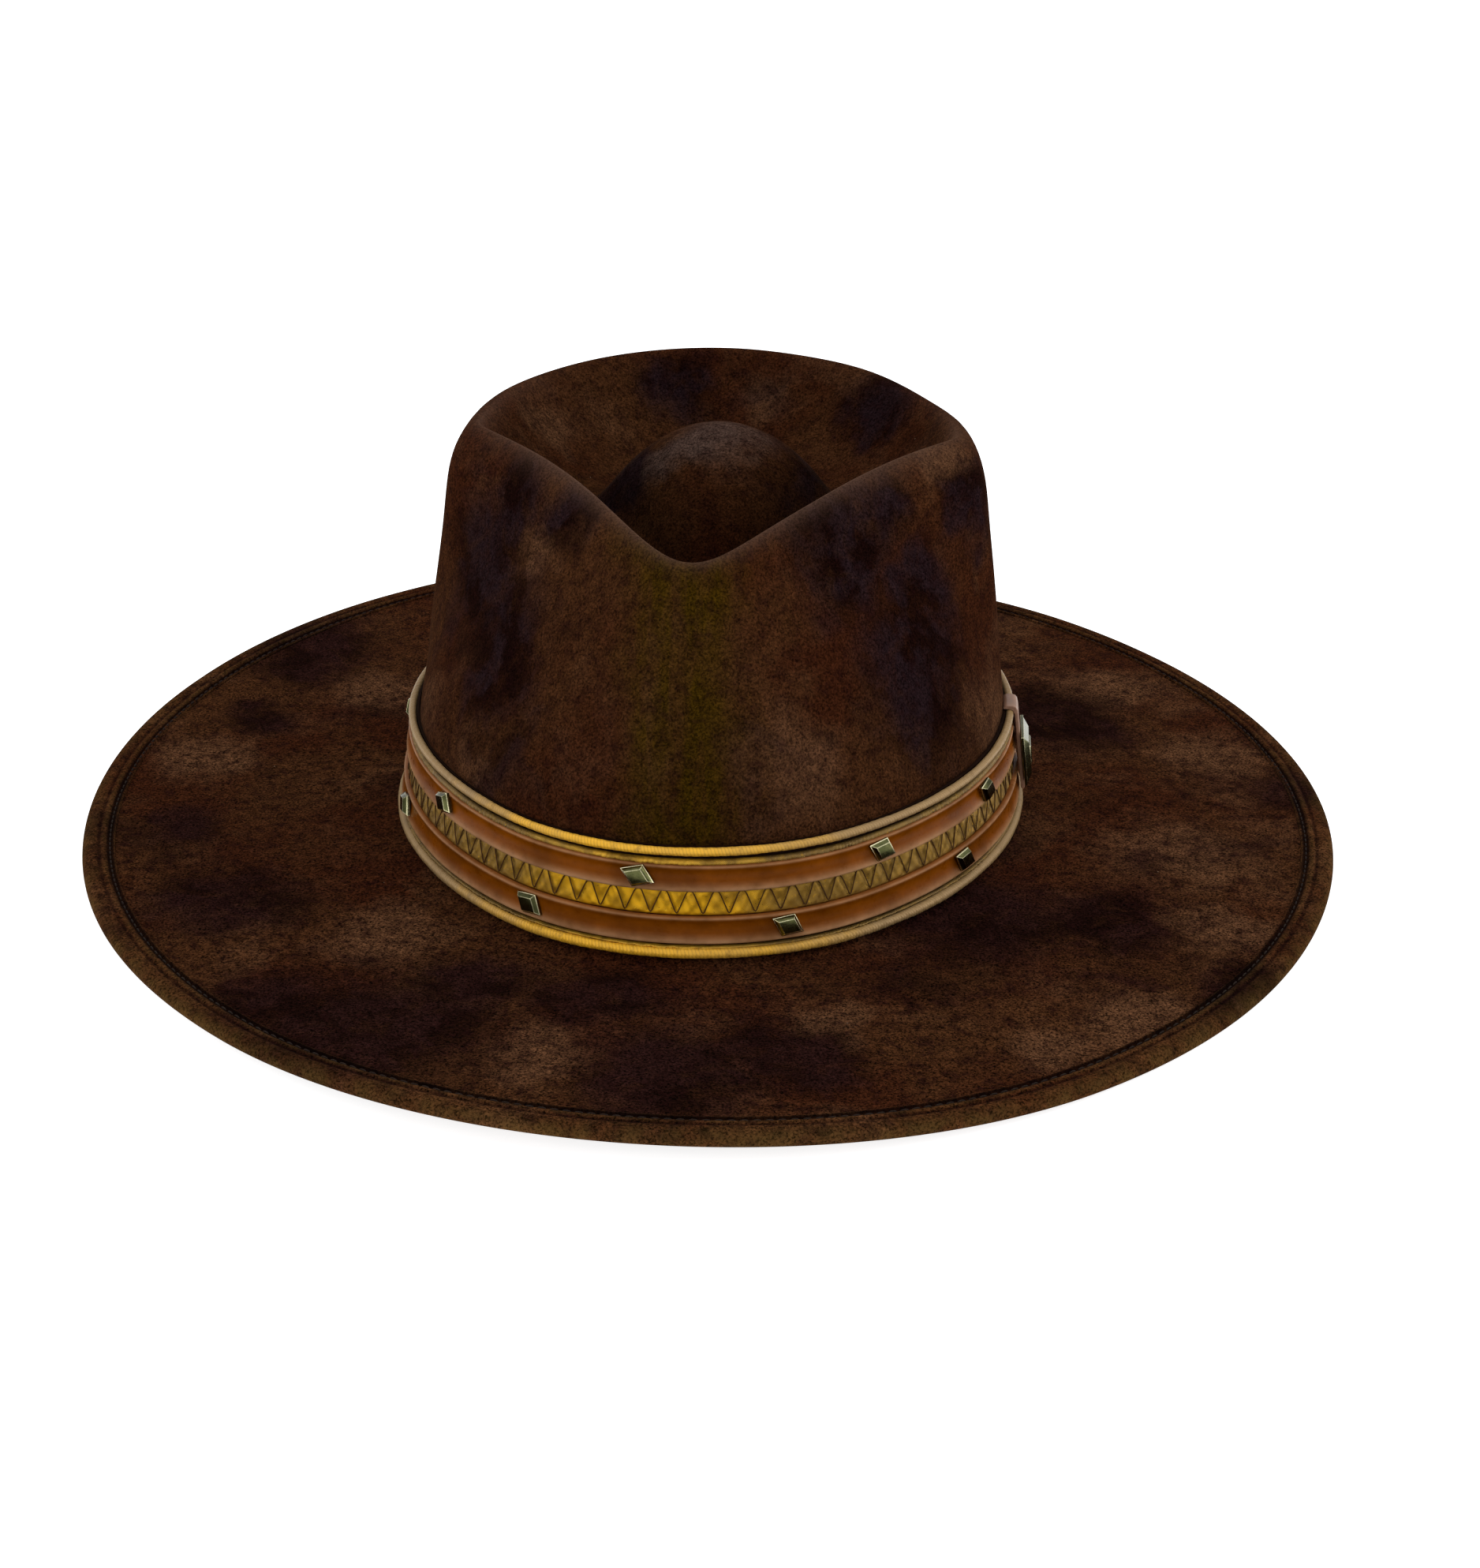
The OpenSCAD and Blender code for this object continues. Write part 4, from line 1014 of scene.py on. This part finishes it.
def make_centre():
    low, height = BACKING_FACE + 0.05, CENTRE_HEIGHT
    face = [(1.15, CENTRE_Z + height * s) for s in linspace(0, 1, 17)]
    section = [(low, CENTRE_Z), *face, (low, CENTRE_Z + height)]

    def puffed(place, r, z):
        across = clip((z - CENTRE_Z) / height, 0, 1)
        crumple = 0.16 * sin(place * 2.1 + 3 * sin(place / 3.1)) * sin(across * 9 + place / 4)
        crumple = crumple + 0.1 * sin(place * 0.83 + 2 * sin(place / 7)) * cos(across * 6)
        puff = 0.36 * centre_relief(place, across) + crumple * smooth(across * 6)
        return r + np.where(r > low + 0.1, puff, 0), z

    mat = gold_fabric("gold_centre_braid", (0.95, 0.5, 0.01), (0.55, 0.28, 0.01), (0.22, 0.13, 0.035),
                      0.42)
    strip = ring_piece("centre_gold_strip", section, 1800, mat, change=puffed)
    settle(strip, "gold_braid", "centre_braid")

    # the thread: up, along the upper edge, down, and on to the next V
    share = np.arange(20 * ZIG_COUNT) / 20
    v = zigzag_v(share)
    v = (np.roll(v, 1) + 2 * v + np.roll(v, -1)) / 4
    place = -PERIMETER / 2 + share * ZIG_PERIOD
    z = CENTRE_Z + 0.12 + (height - 0.24) * v
    under = clip(np.minimum(v, 1 - v) * 8, 0, 1)
    reach = wall_in(z) + 1.3 + 0.22 * under + 0.08 * sin(share * 7.3)
    x, y = oval(turn_at(place), reach)
    loop = tube(stack([x, y, z], 1), 0.16, 7, closed=True)
    zig = build("zigzag_sewn_thread", *loop, thread("brown_thread", (0.05, 0.02, 0.006)))
    settle(zig, "brown_thread", "zigzag_thread")


def make_narrow_braids():
    mat = gold_fabric("gold_edge_braid", (0.8, 0.45, 0.04), (0.3, 0.16, 0.015), (0.14, 0.085, 0.03), 0.5,
                      metallic=0.6, rough=0.4)
    back = BACKING_FACE + 0.05
    for side, z, height, seed in (("lower", LOWER_BRAID_Z, LOWER_BRAID_HEIGHT, 2),
                                  ("upper", UPPER_BRAID_Z, UPPER_BRAID_HEIGHT, 9)):
        curve = ((0, 1.95), (0.18, 2.1), (0.5, 2.1), (0.8, 1.85), (1, 1.3))
        low, seen = z - 0.22, height * 0.7
        section = [(back, low)] + [(r, low + share * seen) for share, r in curve] + [(back, low + seen)]

        def ruched(place, r, zz):
            phase = place / 0.42 + 1.9 * sin(place / 5.1 + seed) + 1.1 * sin(place / 2.3 + 2 * seed)
            fold = np.abs(sin(phase)) ** 0.7
            size = 0.6 + 0.4 * sin(place / 7.7 + seed)
            face = smooth((r - 1.2) / 0.5)
            rise = 0.12 * face * sin(phase * 0.5 + seed) * size
            return r + face * (0.42 * fold * size - 0.22), zz + rise

        braid = ring_piece(side + "_ruched_braid", section, 2400, mat, change=ruched)
        settle(braid, "gold_braid", side + "_braid")


def make_piping():
    mat = piping_cord("gold_cord")
    for side, z, radius, seed in (("lower", LOWER_PIPING_Z, LOWER_CORD, 1),
                                  ("upper", UPPER_PIPING_Z, UPPER_CORD, 6)):
        centre = BACKING_FACE + radius + 0.05

        def lumpy(place, r, zz):
            swell = 0.94 + 0.035 * sin(place / 6 + seed) + 0.02 * sin(place / 2.1 + seed)
            angle = arctan2(zz - z, r - centre)
            swell = swell * (1 + 0.028 * sin(2 * pi * place / 2.6 + 3 * angle))
            sway = 0.12 * sin(place / 19 + seed)
            return centre + (r - centre) * swell, z + (zz - z) * swell + sway

        cord = ring_piece(side + "_piping_cord", arc(centre, z, radius, 0, 345, 24), 1500, mat,
                          change=lumpy)
        settle(cord, "gold_cord", side + "_piping")


def slanted(corners):
    """Lean a stud's sides along the band."""
    return [(x, y - tan(STUD_SKEW) * z, z) for x, y, z in corners]


def make_studs():
    brass = antique_brass("antique_brass")
    y, z = STUD_LENGTH / 2, STUD_ACROSS / 2
    body = bevelled_box(slanted(frustum(0.3, STUD_RISE, y, z, y - STUD_BEVEL, z - STUD_BEVEL)), 0.12, 2)
    plate = bevelled_box(slanted(frustum(-0.35, 0.5, y, z, y, z)), 0.1, 2)
    for side, height, places in (("lower", LOWER_STRAP_Z + LOWER_STRAP_HEIGHT / 2, LOWER_STUDS),
                                 ("upper", UPPER_STRAP_Z + UPPER_STRAP_HEIGHT / 2, UPPER_STUDS)):
        parts = []
        for place in places:
            tilt = Matrix.Rotation(STUD_TURN + radians(rng.uniform(-6, 6)), 4, "X")
            rock = Matrix.Rotation(radians(rng.uniform(-3, 3)), 4, "Z")
            at = on_band(place, height, STRAP_FACE - 0.02) @ tilt @ rock
            parts += [placed(body, at), placed(plate, at)]
        studs = join_parts(side + "_square_studs", parts, brass, sharp=radians(25))
        settle(studs, "antique_brass", side + "_studs")
    return brass


def make_keeper(brass):
    """Leather tab folded over the band's top edge, with a metal concho on its face."""
    low, high = LOWER_STRAP_Z + 1.5, BAND_TOP + KEEPER_LEATHER + LAYER_GAP
    back, face, half = KEEPER_BACK, KEEPER_FACE, KEEPER_HALF_WIDTH
    section = np.array([
        (0.15, high - 0.9), (0.5, high - 0.3), (1.3, high), (face - 1.5, high), (face - 0.6, high - 0.3),
        (face - 0.1, high - 1.1), (face, high - 2.4), (face, BAND_MIDDLE), (face, low + 0.4),
        (face - 0.3, low), (back + 0.3, low), (back, low + 0.4), (back, BAND_MIDDLE), (back, high - 2.6),
        (back - 0.35, high - 1.5), (back - 1.1, high - 1.12), (1.2, high - 1.15), (0.3, high - 1.3)])
    reach, z = section.T
    rings = []
    for s in linspace(-half, half, 13):
        pinch = 1 - 0.12 * exp(-((half - abs(s)) / 0.5) ** 2)
        middle = (back + face) / 2
        r = np.where(reach > back - 0.2, middle + (reach - middle) * pinch, reach)
        x, y = oval(float(turn_at(SIDE_PLACE + s)), r + wall_in(z))
        rings.append(stack([x, y, z], 1))
    n, m = len(rings), len(section)
    faces = ring_faces(n, m, closed_rows=False)
    faces += [list(range(m)), [(n - 1) * m + k for k in range(m)]]
    # the tab's paler, pinker brown is a painted highlight on the straps' kind of leather
    mat = leather("keeper_leather", (0.28, 0.15, 0.095), rough=0.36, coat=0.2, seed=21)
    keeper = build("keeper_leather_tab", np.vstack(rings), faces, mat, sharp=radians(50))
    bevel = keeper.modifiers.new("rounded", "BEVEL")
    bevel.width = 0.2 * MM
    bevel.segments = 2
    bevel.limit_method = "ANGLE"
    bevel.angle_limit = radians(60)
    settle(keeper, "keeper_leather", "keeper")

    at = on_band(SIDE_PLACE, BAND_MIDDLE, KEEPER_FACE + 0.05)
    y, z = CONCHO_LENGTH / 2, CONCHO_HEIGHT / 2
    top_y, top_z = y - CONCHO_BEVEL, z - CONCHO_BEVEL
    rise = CONCHO_RISE
    blocks = ((0.25, (0, 0.9, y, z, y, z)), (0.25, (0.7, rise, y - 0.2, z - 0.2, top_y, top_z)),
              (0.2, (rise - 0.3, rise + 0.35, top_y - 1.6, top_z - 1.6, top_y - 2.1, top_z - 2.1)))
    parts = [placed(bevelled_box(frustum(*sizes), width, 3), at) for width, sizes in blocks]
    concho = join_parts("side_concho", parts, brass, sharp=radians(25))
    settle(concho, "antique_brass", "concho")


def make_band():
    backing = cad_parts["band_backing"]
    backing.data.materials.clear()
    # near black, so that the gaps between the band's layers show as painted shade
    mat = leather("backing_leather", (0.01, 0.004, 0.002), rough=0.7, specular=0.02, seed=1)
    backing.data.materials.append(mat)
    make_piping()
    make_narrow_braids()
    make_straps()
    make_centre()
    make_keeper(make_studs())


# ---- floor, light and camera
# the camera fitted to the photograph: where it is, and what it looks at beside the origin
DISTANCE, ELEVATION, AZIMUTH, ROLL = 840.1, radians(23.75), radians(4.05), radians(0.73)
AIM_RIGHT, AIM_UP = 8.1, 5.2
LENS, SENSOR = 67.43, 36
WORLD_GLOW, FLOOR_GLOW, FLOOR_HALF = 0.5, 0.8, 4000


def make_camera():
    data = bpy.data.cameras.new("camera")
    data.lens = LENS
    data.sensor_width = SENSOR
    data.clip_start = 0.01
    camera = add_object("camera", data)
    turned = Matrix.Rotation(AZIMUTH, 4, "Z") @ Matrix.Rotation(pi / 2 - ELEVATION, 4, "X")
    place = Matrix.Translation(Vector((AIM_RIGHT, AIM_UP, DISTANCE)) * MM)
    camera.matrix_world = turned @ Matrix.Rotation(ROLL, 4, "Z") @ place
    bpy.context.scene.camera = camera


def area_light(name, place, height, size, power):
    """A soft rectangular light aimed at the hat, at a height above the table."""
    data = bpy.data.lights.new(name, "AREA")
    data.shape = "RECTANGLE"
    data.size, data.size_y = size
    data.energy = power
    lamp = add_object(name, data)
    lamp.location = place
    lamp.rotation_euler = (Vector((0, 0, height)) - Vector(place)).to_track_quat("-Z", "Y").to_euler()


def make_stage():
    p = Paint("pale_floor")
    p.put(p.shader.inputs["Emission Color"], (1, 1, 1))
    p.put(p.shader.inputs["Emission Strength"], FLOOR_GLOW)
    p.shades(p.cloud(p.at, 60, 2), (1, 1, 1), 0.8, 0.84)
    corners = [(x * FLOOR_HALF, y * FLOOR_HALF, FLOOR_Z) for x, y in ((-1, -1), (1, -1), (1, 1), (-1, 1))]
    build("floor", corners, [[0, 1, 2, 3]], p.finish(0.9, specular=0.1))

    world = bpy.data.worlds.new("studio")
    world.use_nodes = True
    glow = world.node_tree.nodes["Background"].inputs
    glow["Color"].default_value, glow["Strength"].default_value = (1, 1, 1, 1), WORLD_GLOW
    bpy.context.scene.world = world
    area_light("overhead", (0.15, 0.1, 1.5), 0.05, (2.4, 2.4), 15)
    area_light("front", (-0.25, -1.5, 0.85), 0.05, (1.5, 0.9), 6)
    area_light("right_rim", (1.5, 0.3, 0.6), 0.06, (0.9, 0.9), 7)
    area_light("left_rim", (-1.5, 0.3, 0.6), 0.06, (0.9, 0.9), 4)


make_camera()
make_stage()
make_crown()
make_lining()
make_brim()
make_welt()
make_sweatband()
make_band()

bpy.context.scene.view_settings.view_transform = "Standard"
